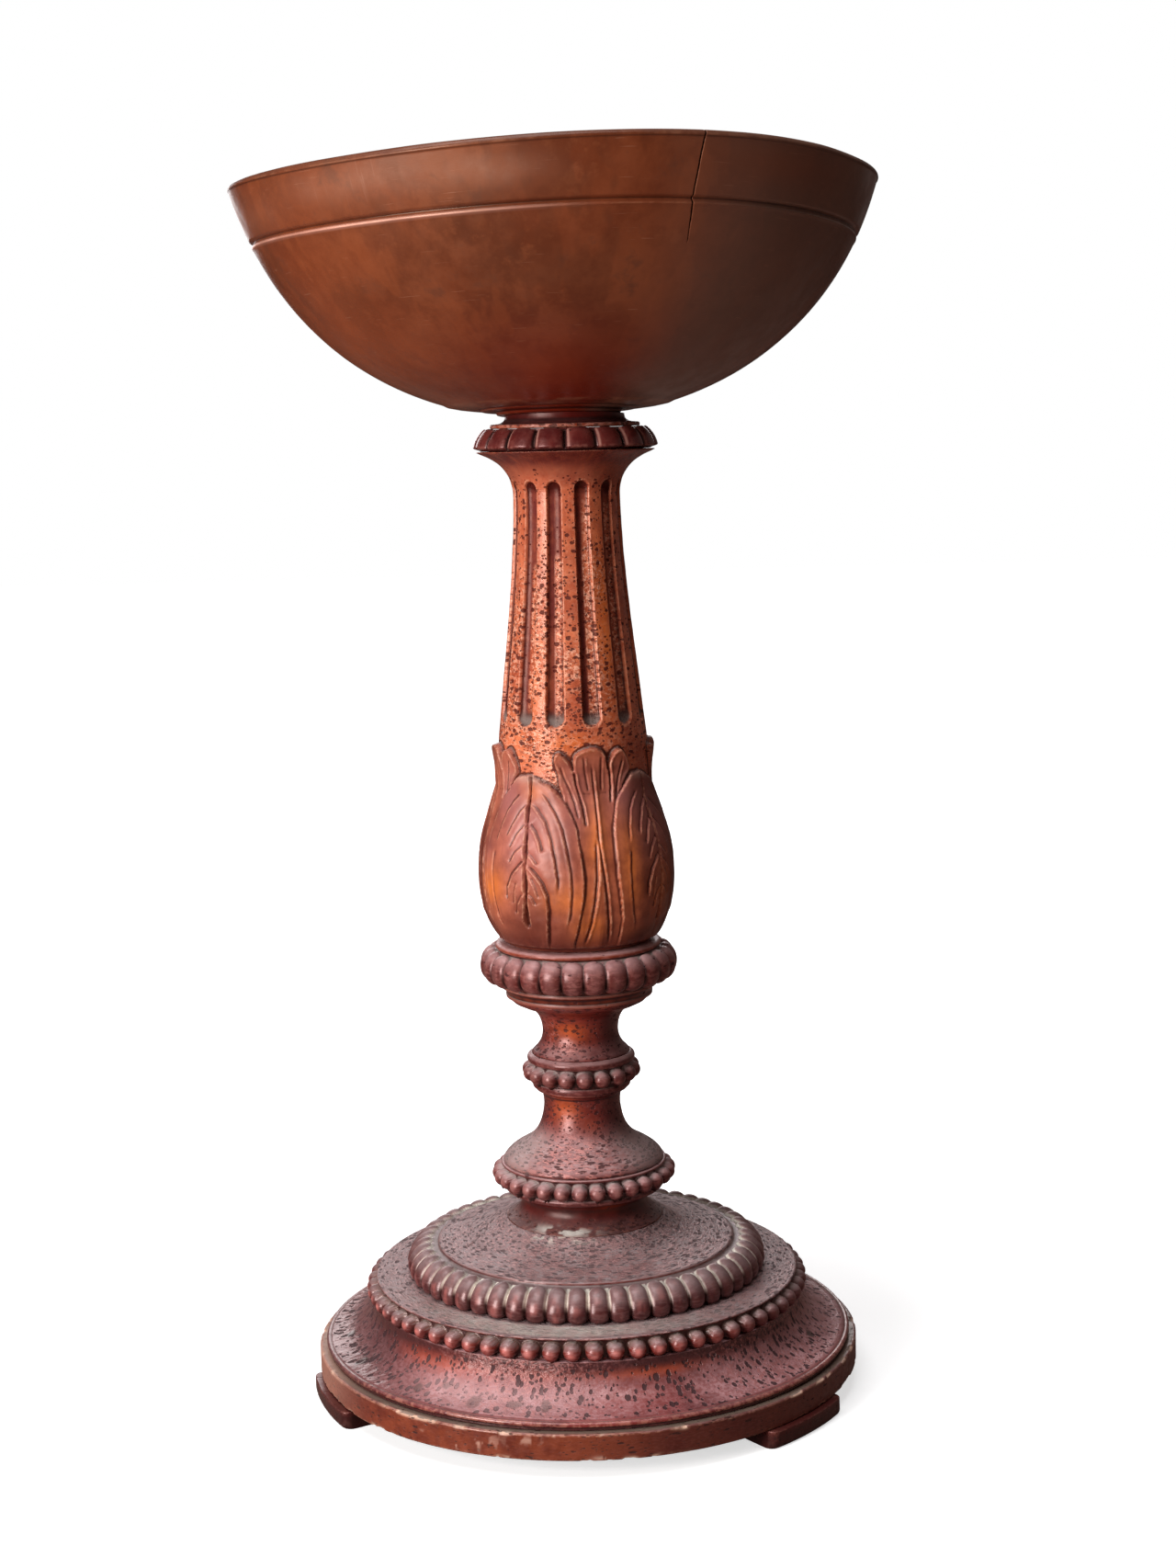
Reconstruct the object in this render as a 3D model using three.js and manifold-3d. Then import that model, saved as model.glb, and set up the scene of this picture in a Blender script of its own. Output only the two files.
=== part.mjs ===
// Carved wooden pedestal bowl: a turned bowl on a carved column over a stepped round base.
// Millimetres, +Z up, origin on the floor under the column's axis. The front is towards -Y.

import * as THREE from "three";
import { mergeVertices } from "three/addons/utils/BufferGeometryUtils.js";
import Module from "manifold-3d";

// Joints between pieces
const glueLine = 0.3; // gap left between two seated faces
const fit = 0.3; // radial clearance of a tenon, dowel or screw in its hole
const endClearance = 1.5; // room left at the bottom of a blind hole

// Feet: three curved blocks under the slab's edge
const footHeight = 14.8;
const footReach = 5.5; // how far a foot stands out past the slab
const footDepth = 46; // from outer to inner face
const footHalfAngle = 12; // degrees
const footDirections = { foot_right: 50, foot_left: -70, foot_rear: 170 }; // degrees from the front
const footCornerRadius = 7;
const footUndercut = 3.5; // rounding of the lower outer edge

// Base discs, from the floor up
const slabRadius = 228;
const slabThickness = 21.3;
const slabEdgeRound = 1.2;
const coveDiscThickness = 39;
const coveDiscTopRadius = 180;
const coveDiscLipRadius = 222;
const coveDiscStep = 2.6; // low dark step that the lip stands on
const coveDiscLipHeight = 4;
const middleDiscThickness = 18;
const middleDiscRadius = 178.3;
const middleBeadReach = 187; // radius over the bead row
const middleBeads = 66;
const middleBeadPhase = 1.7; // degrees, where the first bead stands
const upperDiscRimHeight = 26;
const upperDiscRimRadius = 125;
const upperDiscCrownHeight = 44;
const lobeShoulderRadius = 131;
const lobeReach = 151; // radius over the gadroon lobes
const lobeFootRadius = 146;
const upperLobes = 54;
const upperLobePhase = 3.8;
const upperLobeDepth = 4.2;

// Stem: turned sections between the base and the column
const neckHeight = 24.7;
const neckFootRadius = 66;
const neckWaistRadius = 51.5;
const neckTopRadius = 54;
const beadedDiscThickness = 23.7;
const beadedDiscTopRadius = 69.5;
const beadedDiscFootRadius = 66;
const beadedDiscReach = 77.5;
const beadedDiscBeads = 30;
const beadedDiscPhase = 8.8;
const lowerWaistHeight = 62.4;
const lowerWaistRadius = 31.8;
const lowerWaistFootRadius = 67.5;
const lowerWaistTopRadius = 39;
const beadCollarHeight = 29.6;
const beadCollarFilletRadius = 43.5;
const beadCollarFootRadius = 40;
const beadCollarReach = 50;
const beadCollarBeads = 18;
const beadCollarPhase = 3.5;
const upperWaistHeight = 48.3;
const upperWaistRadius = 31.7;
const upperWaistFootRadius = 42;
const upperWaistTopRadius = 59.5;
const collarHeight = 47.2;
const collarFootRadius = 62;
const collarStepRadius = 66;
const collarTorusReach = 82.7;
const collarTopRadius = 67;
const collarLobes = 27;
const collarLobePhase = -3.7;
const collarLobeDepth = 3.4;

// Column: one blank, leaves carved on the bulb and flutes on the shaft
const bulbHeight = 172;
const bulbFootRadius = 63;
const bulbRadius = 79.4;
const bulbWidestHeight = 58; // above the column's foot
const shaftFootRadius = 61.3;
const shaftNeckRadius = 43.5;
const shaftHeight = 194;
const capitalFlareHeight = 38;
const capitalLipRadius = 73.2;
const capitalLipHeight = 2.4;
const leafPairs = 4; // four low leaves and four tall ones between them
const lowLeafDirection = -28.5;
const lowLeafTip = 145; // height of the tip above the column's foot
const lowLeafWidest = 59;
const lowLeafHalfWidth = 34; // degrees
const lowLeafRelief = 2.4;
const tallLeafTip = 169;
const tallLeafWidest = 140;
const tallLeafHalfWidth = 21;
const tallLeafRelief = 1.4;
const leafEdge = 0.7; // degrees that a leaf's edge takes
const leafTipCurl = 3;
const leafSlitDepth = 3;
const slitFoot = 22;
const flutes = 12;
const flutePhase = 16.5;
const fluteBottom = 184.5; // above the column's foot
const fluteTop = 380.3;
const fluteHalfWidth = 8.2; // degrees of the shaft that half a flute takes
const fluteDepthShare = 0.62; // depth as a share of the half width
const spigotRadius = 34; // round spigot on top that carries the capital ring
const spigotHeight = 17.4;

// Capital ring, neck cap and bowl
const capitalHeight = 17.7;
const capitalLobes = 18;
const capitalLobePhase = 10;
const capitalReach = 74.6;
const capitalTopRadius = 61.5;
const capitalLobeDepth = 3.2;
const neckCapFilletRadius = 61;
const neckCapFilletHeight = 3.2;
const neckCapCoveRadius = 48.5;
const neckCapHeight = 10.2; // at the axis, up to the bowl's tilted foot
const bowlOffset = -4.5; // the bowl sits off centre, towards -X
const bowlForward = 4; // and forward, so that its leaning rim stays nearer over the column
const bowlTilt = 2.6; // degrees, front edge up
const bowlHeight = 181;
const bowlRimRadius = 260.4;
const bowlFullness = 1.623; // its curve would be widest this many bowl heights up
const bowlPoleDepth = 0.015; // and would close this many bowl heights below the foot
const bowlCurvePower = 2.25; // 2 would be an ellipse
const bowlFootRadius = 60.5;
const bowlFootHeight = 3.8;
const bowlWall = 13;
const bowlFloor = 19;
const bowlRimRound = 5; // height of the rim's rounded inner edge
const bowlInnerLevels = [1, 0.72, 0.45, 0.22, 0.06, 0]; // shares of the hollow's depth
const bowlGrooveDrop = 46; // from the rim down
const bowlGrooveWidth = 5;
const bowlGrooveDepth = 2.2;
const bowlWarp = 8.5; // the rim rises and falls this much twice round, as the timber shrank
const bowlWarpDirection = 40;
const bowlLean = 5.6; // the rim is lower to +X by this much
const bowlWarpPower = 6;

// Tenons, dowel and screws
const stemTenonRadius = 20;
const stemTenonLength = 54; // neck into the base discs
const waistTenonRadius = 15;
const waistTenonReach = 14; // past the ring that the tenon goes through
const collarTenonRadius = 17;
const collarTenonLength = 20;
const columnTenonRadius = 17;
const columnTenonLength = 20;
const dowelRadius = 10;
const dowelBelow = 45; // length in the column's top
const dowelInBowl = 12;
const screwRadius = 2.2;
const screwHeadRadius = 4.6;
const screwHeadHeight = 3;
const footScrewLength = 30;
const footScrewSpread = 7; // degrees to each side of the foot's middle
const footScrewInset = 24; // from the foot's outer face
const slabScrews = 4;
const slabScrewLength = 48;
const slabScrewCircle = 120;
const screwHeadInset = 1.2; // head sunk below the face that it enters

// Heights of the stack, worked out from the floor up
const slabBottom = footHeight + glueLine;
const slabTop = slabBottom + slabThickness;
const coveDiscBottom = slabTop + glueLine;
const middleDiscBottom = coveDiscBottom + coveDiscThickness + glueLine;
const upperDiscBottom = middleDiscBottom + middleDiscThickness + glueLine;
const neckBottom = upperDiscBottom + upperDiscCrownHeight + glueLine;
const beadedDiscBottom = neckBottom + neckHeight + glueLine;
const lowerWaistBottom = beadedDiscBottom + beadedDiscThickness + glueLine;
const beadCollarBottom = lowerWaistBottom + lowerWaistHeight + glueLine;
const upperWaistBottom = beadCollarBottom + beadCollarHeight + glueLine;
const collarBottom = upperWaistBottom + upperWaistHeight + glueLine;
const columnBottom = collarBottom + collarHeight + glueLine;
const columnHeight = bulbHeight + shaftHeight + capitalFlareHeight;
const capitalBottom = columnBottom + columnHeight + glueLine;
const neckCapBottom = capitalBottom + capitalHeight + glueLine;
const bowlBottom = neckCapBottom + neckCapHeight + glueLine;

// Facet counts round each kind of turning
const bowlSides = 30;
const bowlPhase = 180 / bowlSides; // degrees, sets a corner at the far left and the far right
const discSides = 40;
const stemSides = 24;
const columnSides = 24;
const holeSides = 8;
const screwSides = 6;
const fluteSides = 6;

const radians = Math.PI / 180;
const wasm = await Module();
wasm.setup();

const darkRed = { color: 0x6b3a34, roughness: 0.55, metalness: 0 };
const dustyRed = { color: 0x7a4c47, roughness: 0.7, metalness: 0 };
const orangeBrown = { color: 0x9a4f28, roughness: 0.5, metalness: 0 };
const bowlBrown = { color: 0x6a3318, roughness: 0.35, metalness: 0 };
const bareWood = { color: 0xb98a5c, roughness: 0.8, metalness: 0 };
const steel = { color: 0x8a8a88, roughness: 0.45, metalness: 0.9 };

const object = new THREE.Group();

function addPiece(name, geometry, look) {
  const mesh = new THREE.Mesh(geometry, new THREE.MeshStandardMaterial(look));
  mesh.name = name;
  object.add(mesh);
  return mesh;
}

// Points on the curve that leaves `from`, bends at `corner` and ends at `to`, all as [radius, height].
function bend(from, corner, to, steps) {
  const curve = new THREE.QuadraticBezierCurve(
    new THREE.Vector2(...from),
    new THREE.Vector2(...corner),
    new THREE.Vector2(...to),
  );
  return curve.getPoints(steps).map((point) => [point.x, point.y]);
}

// Smooth curve through a few [radius, height] points.
function smooth(points, steps) {
  const curve = new THREE.SplineCurve(points.map((point) => new THREE.Vector2(...point)));
  return curve.getPoints(steps).map((point) => [point.x, point.y]);
}

function raised(profile, height) {
  return profile.map(([radius, z]) => [radius, z + height]);
}

// A ring of a turned body. `radius` and `height` are numbers or functions of the direction in degrees.
function ring(sides, radius, height, phase = 0) {
  const points = [];
  const count = radius === 0 ? 1 : sides;
  for (let i = 0; i < count; i += 1) {
    const direction = (360 * i) / count + phase;
    const r = typeof radius === "function" ? radius(direction) : radius;
    const z = typeof height === "function" ? height(direction, r) : height;
    points.push([r * Math.sin(direction * radians), -r * Math.cos(direction * radians), z]);
  }
  return points;
}

function directionOf([x, y]) {
  return Math.atan2(x, -y) / radians;
}

// Angle in degrees from `origin` round to a point, from 0 to 360
function turnFrom(origin, point) {
  const turn = directionOf(point) - origin;
  return turn - 360 * Math.floor(turn / 360 + 1e-9);
}

function offOrigin(turn) {
  return Math.min(turn, 360 - turn);
}

// Turns of a ring's points from the point `first` on, rising steadily until once round
function unrolled(turns, first) {
  const start = turns[first] > 180 ? turns[first] - 360 : turns[first];
  const rising = [start];
  for (let i = 1; i < turns.length; i += 1) {
    const last = rising[i - 1];
    const step = (turns[(first + i) % turns.length] - last) % 360;
    rising.push(last + (step < 0 ? step + 360 : step));
  }
  rising.push(start + 360);
  return rising;
}

// Skin between rings taken in order up the outside of a body. Neighbouring rings may differ in count.
// A bored body closes from the last ring back to the first.
function loft(rings, bored = false) {
  const positions = [];
  const starts = [];
  for (const points of rings) {
    starts.push(positions.length / 3);
    for (const point of points) positions.push(...point);
  }
  const faces = [];
  const joinRings = (lower, upper) => {
    const a = rings[lower].length;
    const b = rings[upper].length;
    const origin = directionOf(rings[lower][0]);
    const turnsA = unrolled(rings[lower].map((point) => turnFrom(origin, point)), 0);
    const around = rings[upper].map((point) => turnFrom(origin, point));
    const nearest = around.reduce((best, turn, i) => {
      return offOrigin(turn) < offOrigin(around[best]) ? i : best;
    }, 0);
    const turnsB = unrolled(around, nearest);
    const atA = (i) => starts[lower] + (i % a);
    const atB = (i) => starts[upper] + ((i + nearest) % b);
    const middleOf = (turns, i) => (turns[i] + turns[i + 1]) / 2;
    let i = 0;
    let j = 0;
    while (i < a || j < b) {
      const behind = a === 1 || b === 1 || middleOf(turnsA, i) <= middleOf(turnsB, j);
      const stepA = j >= b || (i < a && behind);
      const face = stepA ? [atA(i), atA(i + 1), atB(j)] : [atA(i), atB(j + 1), atB(j)];
      if (new Set(face).size === 3) faces.push(...face);
      if (stepA) i += 1;
      else j += 1;
    }
  };
  for (let k = 0; k + 1 < rings.length; k += 1) joinRings(k, k + 1);
  if (bored) joinRings(rings.length - 1, 0);
  const geometry = new THREE.BufferGeometry();
  geometry.setAttribute("position", new THREE.Float32BufferAttribute(positions, 3));
  geometry.setIndex(faces);
  return geometry;
}

// Plain turning about the Z axis from [radius, height] points taken up the outside.
function turned(profile, sides) {
  const points = profile.map(([radius, height]) => new THREE.Vector2(radius, height));
  const geometry = new THREE.LatheGeometry(points, sides);
  geometry.rotateX(Math.PI / 2);
  return geometry;
}

function toSolid(geometry) {
  const bare = geometry.clone();
  bare.deleteAttribute("normal");
  bare.deleteAttribute("uv");
  const merged = mergeVertices(bare, 1e-4);
  const index = merged.index.array;
  const kept = [];
  for (let i = 0; i < index.length; i += 3) {
    const corners = [index[i], index[i + 1], index[i + 2]];
    if (new Set(corners).size === 3) kept.push(...corners);
  }
  const mesh = new wasm.Mesh({
    numProp: 3,
    vertProperties: new Float32Array(merged.attributes.position.array),
    triVerts: new Uint32Array(kept),
  });
  return new wasm.Manifold(mesh);
}

function toGeometry(solid) {
  const mesh = solid.getMesh();
  const geometry = new THREE.BufferGeometry();
  geometry.setAttribute("position", new THREE.Float32BufferAttribute(mesh.vertProperties, 3));
  geometry.setIndex(new THREE.Uint32BufferAttribute(mesh.triVerts, 1));
  return geometry;
}

function cutFrom(geometry, cutters) {
  let solid = toSolid(geometry);
  for (const cutter of cutters) solid = solid.subtract(toSolid(cutter));
  return toGeometry(solid);
}

// Round bar along Z between two heights.
function bar(radius, bottom, top, sides = holeSides) {
  const geometry = new THREE.CylinderGeometry(radius, radius, top - bottom, sides);
  geometry.rotateX(Math.PI / 2);
  geometry.translate(0, 0, (top + bottom) / 2);
  return geometry;
}

// How far the direction is from the nearest of `count` evenly spaced features, in parts of their pitch.
function acrossFeature(direction, count, phase) {
  const turns = ((direction - phase) * count) / 360;
  return turns - Math.round(turns);
}

// Height of a round bead or lobe over its valleys, 1 in the middle and 0 between two.
function roundAcross(direction, count, phase) {
  const across = 2 * acrossFeature(direction, count, phase);
  return Math.sqrt(Math.max(0, 1 - across * across));
}

// Rings of a bead row that bulges from `inner` to `reach` between two heights, fullest in the middle.
function beadRings(beads, phase, inner, reach, bottom, top) {
  const middle = (bottom + top) / 2;
  const halfHeight = (top - bottom) / 2;
  return [-0.66, 0, 0.66].map((share) => {
    const bulge = (reach - inner) * Math.sqrt(1 - share * share);
    const radius = (direction) => inner + bulge * roundAcross(direction, beads, phase);
    return ring(beads * (share === 0 ? 4 : 2), radius, middle + share * halfHeight, phase);
  });
}

// Rings that follow a profile of [radius, height, share of the depth] with lobes cut into it.
// Each lobe has four points where the share is 1 and two elsewhere.
function lobeRings(lobes, phase, profile, depth) {
  return profile.map(([reach, height, share]) => {
    const radius = (direction) => reach - depth * share * (1 - roundAcross(direction, lobes, phase));
    return ring(lobes * (share < 1 ? 2 : 4), radius, height, phase);
  });
}

function plainRings(profile, sides) {
  return profile.map(([radius, height]) => ring(sides, radius, height));
}

// Wood screw standing on its head, with its head's face at `bottom`. `grow` makes the hole's shape.
function screw(length, bottom, grow = 0) {
  const headTop = bottom + screwHeadHeight + grow;
  const profile = [
    [0, bottom - grow],
    [screwHeadRadius + grow, bottom - grow],
    [screwRadius + grow, headTop],
    [screwRadius + grow, bottom + length - 2 * screwRadius + grow],
    [0, bottom + length + grow],
  ];
  return turned(profile, screwSides);
}

function moved(geometry, radius, direction) {
  const angle = direction * radians;
  return geometry.clone().translate(radius * Math.sin(angle), -radius * Math.cos(angle), 0);
}

// Feet, each a curved block whose lower outer edge is rounded under
function footOutline(direction, outer) {
  const inner = slabRadius + footReach - footDepth;
  const corner = (footCornerRadius / outer) / radians;
  const points = [];
  const put = (radius, turn) => {
    const angle = (direction + turn) * radians;
    points.push([radius * Math.sin(angle), -radius * Math.cos(angle)]);
  };
  put(inner, footHalfAngle);
  put(inner, 0);
  put(inner, -footHalfAngle);
  put(outer - footCornerRadius, -footHalfAngle);
  put(outer - footCornerRadius * 0.3, -footHalfAngle + corner * 0.3);
  for (let i = 0; i <= 4; i += 1) {
    const share = i / 4;
    put(outer, (2 * share - 1) * (footHalfAngle - corner));
  }
  put(outer - footCornerRadius * 0.3, footHalfAngle - corner * 0.3);
  put(outer - footCornerRadius, footHalfAngle);
  return points;
}

function footBlock(direction) {
  const outer = slabRadius + footReach;
  const underEdge = [outer - footUndercut, 0];
  const levels = bend(underEdge, [outer, footHeight * 0.25], [outer, footHeight * 0.6], 2);
  levels.push([outer, footHeight]);
  const loops = levels.map(([radius, height]) => {
    return footOutline(direction, radius).map(([x, y]) => [x, y, height]);
  });
  const capPoints = loops[0].map(([x, y]) => new THREE.Vector2(x, y));
  const cap = THREE.ShapeUtils.triangulateShape(capPoints, []);
  const count = loops[0].length;
  const turn = THREE.ShapeUtils.area(capPoints) > 0 ? 1 : -1;
  const positions = loops.flat(2);
  const faces = [];
  const put = (a, b, c) => faces.push(...(turn > 0 ? [a, b, c] : [a, c, b]));
  for (let level = 0; level + 1 < loops.length; level += 1) {
    for (let i = 0; i < count; i += 1) {
      const a = level * count + i;
      const b = level * count + ((i + 1) % count);
      put(a, b, b + count);
      put(a, b + count, a + count);
    }
  }
  const last = (loops.length - 1) * count;
  for (const [a, b, c] of cap) {
    put(c, b, a);
    put(last + a, last + b, last + c);
  }
  const geometry = new THREE.BufferGeometry();
  geometry.setAttribute("position", new THREE.Float32BufferAttribute(positions, 3));
  geometry.setIndex(faces);
  return geometry;
}

const footScrewRadius = slabRadius + footReach - footScrewInset;
const footScrewHoles = [];
for (const [name, direction] of Object.entries(footDirections)) {
  const holes = [];
  for (const [suffix, side] of [["a", -1], ["b", 1]]) {
    const at = direction + side * footScrewSpread;
    const shape = screw(footScrewLength, screwHeadInset);
    addPiece(`${name}_screw_${suffix}`, moved(shape, footScrewRadius, at), steel);
    holes.push(moved(screw(footScrewLength, screwHeadInset, fit), footScrewRadius, at));
    holes.push(moved(bar(screwHeadRadius + fit, -1, screwHeadInset, screwSides), footScrewRadius, at));
  }
  addPiece(name, cutFrom(footBlock(direction), holes), darkRed);
  footScrewHoles.push(...holes);
}

// Slab, the plain disc that the feet carry
const slabScrewBottom = slabBottom + screwHeadInset;
const slabHoles = [];
for (let i = 0; i < slabScrews; i += 1) {
  const at = (360 * (i + 0.5)) / slabScrews;
  const counterbore = bar(screwHeadRadius + fit, slabBottom - 1, slabScrewBottom, screwSides);
  addPiece(`slab_screw_${i + 1}`, moved(screw(slabScrewLength, slabScrewBottom), slabScrewCircle, at), steel);
  slabHoles.push(moved(screw(slabScrewLength, slabScrewBottom, fit), slabScrewCircle, at));
  slabHoles.push(moved(counterbore, slabScrewCircle, at));
}
const slabProfile = [
  [0, slabBottom],
  [slabRadius, slabBottom],
  [slabRadius, slabTop - slabEdgeRound],
  [slabRadius - slabEdgeRound, slabTop],
  [0, slabTop],
];
addPiece("base_slab", cutFrom(turned(slabProfile, discSides), [...slabHoles, ...footScrewHoles]), darkRed);

// Cove disc: a thin lip over a low step, then a hollow slope up to the bead row
const coveTop = coveDiscBottom + coveDiscThickness;
const lipBottom = coveDiscBottom + coveDiscStep;
const lipTop = lipBottom + coveDiscLipHeight;
const coveFoot = [coveDiscLipRadius - 4, lipTop];
const coveProfile = [
  [0, coveDiscBottom],
  [coveDiscLipRadius - 1.5, coveDiscBottom],
  [coveDiscLipRadius - 1.5, lipBottom],
  [coveDiscLipRadius, lipBottom],
  [coveDiscLipRadius - 1, lipTop],
  ...bend(coveFoot, [coveDiscTopRadius + 8, lipTop + 5], [coveDiscTopRadius, coveTop], 3),
  [0, coveTop],
];
addPiece("cove_disc", cutFrom(turned(coveProfile, discSides), slabHoles), dustyRed);

// Middle disc with the large bead row round its edge
const middleTop = middleDiscBottom + middleDiscThickness;
const middleBeadTop = middleTop - 2.6;
const socketDepth = stemTenonLength - (upperDiscCrownHeight + glueLine) + endClearance;
const stemBore = stemTenonRadius + fit;
const middleBeadInner = middleDiscRadius - 2.4;
addPiece(
  "middle_disc",
  loft([
    ring(discSides, 0, middleDiscBottom),
    ring(discSides, middleBeadInner, middleDiscBottom),
    ...beadRings(
      middleBeads,
      middleBeadPhase,
      middleBeadInner,
      middleBeadReach,
      middleDiscBottom,
      middleBeadTop,
    ),
    ring(discSides, middleBeadInner, middleBeadTop),
    ring(discSides, middleDiscRadius, middleTop - 1.6),
    ring(discSides, middleDiscRadius, middleTop),
    ring(holeSides, stemBore, middleTop),
    ring(holeSides, stemBore, middleTop - socketDepth),
    ring(holeSides, 0, middleTop - socketDepth),
  ]),
  dustyRed,
);

// Upper disc: gadroon lobes round the edge and a trumpet-shaped top that sweeps up to the neck
const upperRim = upperDiscBottom + upperDiscRimHeight;
const upperCrown = upperDiscBottom + upperDiscCrownHeight;
const crownFoot = [upperDiscRimRadius - 2, upperRim];
const crownCorner = [neckFootRadius + 17, upperRim + 3];
const lobeProfile = [
  [lobeFootRadius, upperDiscBottom, 0.8],
  [lobeReach, upperDiscBottom + upperDiscRimHeight * 0.27, 1],
  [lobeReach - 4.5, upperDiscBottom + upperDiscRimHeight * 0.68, 0.95],
  [lobeShoulderRadius + 5, upperDiscBottom + upperDiscRimHeight * 0.93, 0.8],
];
addPiece(
  "upper_disc",
  loft(
    [
      ring(holeSides, stemBore, upperDiscBottom),
      ...lobeRings(upperLobes, upperLobePhase, lobeProfile, upperLobeDepth),
      ring(discSides, lobeShoulderRadius, upperRim - 1.6),
      ring(discSides, upperDiscRimRadius + 1.5, upperRim - 2),
      ring(discSides, upperDiscRimRadius, upperRim),
      ...plainRings(bend(crownFoot, crownCorner, [neckFootRadius, upperCrown], 3), discSides),
      ring(holeSides, stemBore, upperCrown),
    ],
    true,
  ),
  dustyRed,
);

// Neck: a cove between the base and the beaded disc, with a long tenon down into the discs
const waistBore = waistTenonRadius + fit;
const neckTop = neckBottom + neckHeight;
const neckSocketDepth = waistTenonReach + endClearance;
const neckWaistBend = [neckWaistRadius, neckBottom + 6];
addPiece(
  "neck",
  loft([
    ring(holeSides, 0, neckBottom - stemTenonLength),
    ring(holeSides, stemTenonRadius, neckBottom - stemTenonLength),
    ring(holeSides, stemTenonRadius, neckBottom),
    ...plainRings(
      bend([neckFootRadius, neckBottom], neckWaistBend, [neckWaistRadius, neckTop - 7], 4),
      stemSides,
    ),
    ring(stemSides, neckTopRadius, neckTop - 3),
    ring(stemSides, neckTopRadius, neckTop),
    ring(holeSides, waistBore, neckTop),
    ring(holeSides, waistBore, neckTop - neckSocketDepth),
    ring(holeSides, 0, neckTop - neckSocketDepth),
  ]),
  darkRed,
);

// A ring bored for the waist's tenon, with a bead row between two fillets
function beadedRing(name, bottom, height, beads, phase, radii, beadSpan) {
  const top = bottom + height;
  const [footRadius, innerRadius, reach, filletRadius, topRadius] = radii;
  const [beadBottom, beadTop] = beadSpan.map((offset) => bottom + offset);
  const rings = [
    ring(holeSides, waistBore, bottom),
    ring(stemSides, footRadius, bottom),
    ring(stemSides, footRadius + 0.8, beadBottom - 0.6),
    ring(stemSides, innerRadius, beadBottom),
    ...beadRings(beads, phase, innerRadius, reach, beadBottom, beadTop),
    ring(stemSides, innerRadius, beadTop),
    ring(stemSides, filletRadius, beadTop + 0.8),
    ring(stemSides, topRadius, top),
    ring(holeSides, waistBore, top),
  ];
  addPiece(name, loft(rings, true), dustyRed);
}

beadedRing(
  "beaded_disc",
  beadedDiscBottom,
  beadedDiscThickness,
  beadedDiscBeads,
  beadedDiscPhase,
  [beadedDiscFootRadius, beadedDiscTopRadius - 2, beadedDiscReach, beadedDiscTopRadius, beadedDiscTopRadius],
  [5, beadedDiscThickness - 4.2],
);

// Lower waist: a vase that swells to the beaded disc
const lowerWaistTop = lowerWaistBottom + lowerWaistHeight;
const waistTenonThrough = waistTenonReach + glueLine;
const lowerWaistTenonBottom = lowerWaistBottom - beadedDiscThickness - glueLine - waistTenonReach;
addPiece(
  "lower_waist",
  loft([
    ring(holeSides, 0, lowerWaistTenonBottom),
    ring(holeSides, waistTenonRadius, lowerWaistTenonBottom),
    ring(holeSides, waistTenonRadius, lowerWaistBottom),
    ring(stemSides, lowerWaistFootRadius, lowerWaistBottom),
    ...plainRings(
      raised(
        smooth(
          [
            [lowerWaistFootRadius, 2],
            [lowerWaistFootRadius - 8, 9.5],
            [lowerWaistFootRadius - 24, 18],
            [lowerWaistRadius + 3.6, 28],
            [lowerWaistRadius, 42],
            [lowerWaistRadius + 1, 54],
          ],
          7,
        ),
        lowerWaistBottom,
      ),
      stemSides,
    ),
    ring(stemSides, lowerWaistTopRadius - 2.4, lowerWaistTop - 3),
    ring(stemSides, lowerWaistTopRadius, lowerWaistTop),
    ring(holeSides, waistBore, lowerWaistTop),
    ring(holeSides, waistBore, lowerWaistTop - waistTenonThrough - endClearance),
    ring(holeSides, 0, lowerWaistTop - waistTenonThrough - endClearance),
  ]),
  dustyRed,
);

beadedRing(
  "bead_collar",
  beadCollarBottom,
  beadCollarHeight,
  beadCollarBeads,
  beadCollarPhase,
  [
    beadCollarFootRadius,
    beadCollarFilletRadius - 1.5,
    beadCollarReach,
    beadCollarFilletRadius + 1.2,
    beadCollarFilletRadius,
  ],
  [8, beadCollarHeight - 4.6],
);

// Upper waist: a spool between the bead collar and the gadroon collar, with a tenon at each end
const upperWaistTop = upperWaistBottom + upperWaistHeight;
const upperWaistTenonBottom = upperWaistBottom - beadCollarHeight - glueLine - waistTenonReach;
addPiece(
  "upper_waist",
  loft([
    ring(holeSides, 0, upperWaistTenonBottom),
    ring(holeSides, waistTenonRadius, upperWaistTenonBottom),
    ring(holeSides, waistTenonRadius, upperWaistBottom),
    ring(stemSides, upperWaistFootRadius, upperWaistBottom),
    ...plainRings(
      raised(
        smooth(
          [
            [upperWaistFootRadius - 1, 1],
            [upperWaistRadius + 2.4, 8],
            [upperWaistRadius, 16],
            [upperWaistRadius + 1.2, 26],
            [upperWaistRadius + 5, 34],
            [upperWaistTopRadius - 10.5, 40.5],
            [upperWaistTopRadius - 1.5, 45.5],
          ],
          7,
        ),
        upperWaistBottom,
      ),
      stemSides,
    ),
    ring(stemSides, upperWaistTopRadius, upperWaistTop),
    ring(holeSides, collarTenonRadius, upperWaistTop),
    ring(holeSides, collarTenonRadius, upperWaistTop + collarTenonLength),
    ring(holeSides, 0, upperWaistTop + collarTenonLength),
  ]),
  dustyRed,
);

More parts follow.
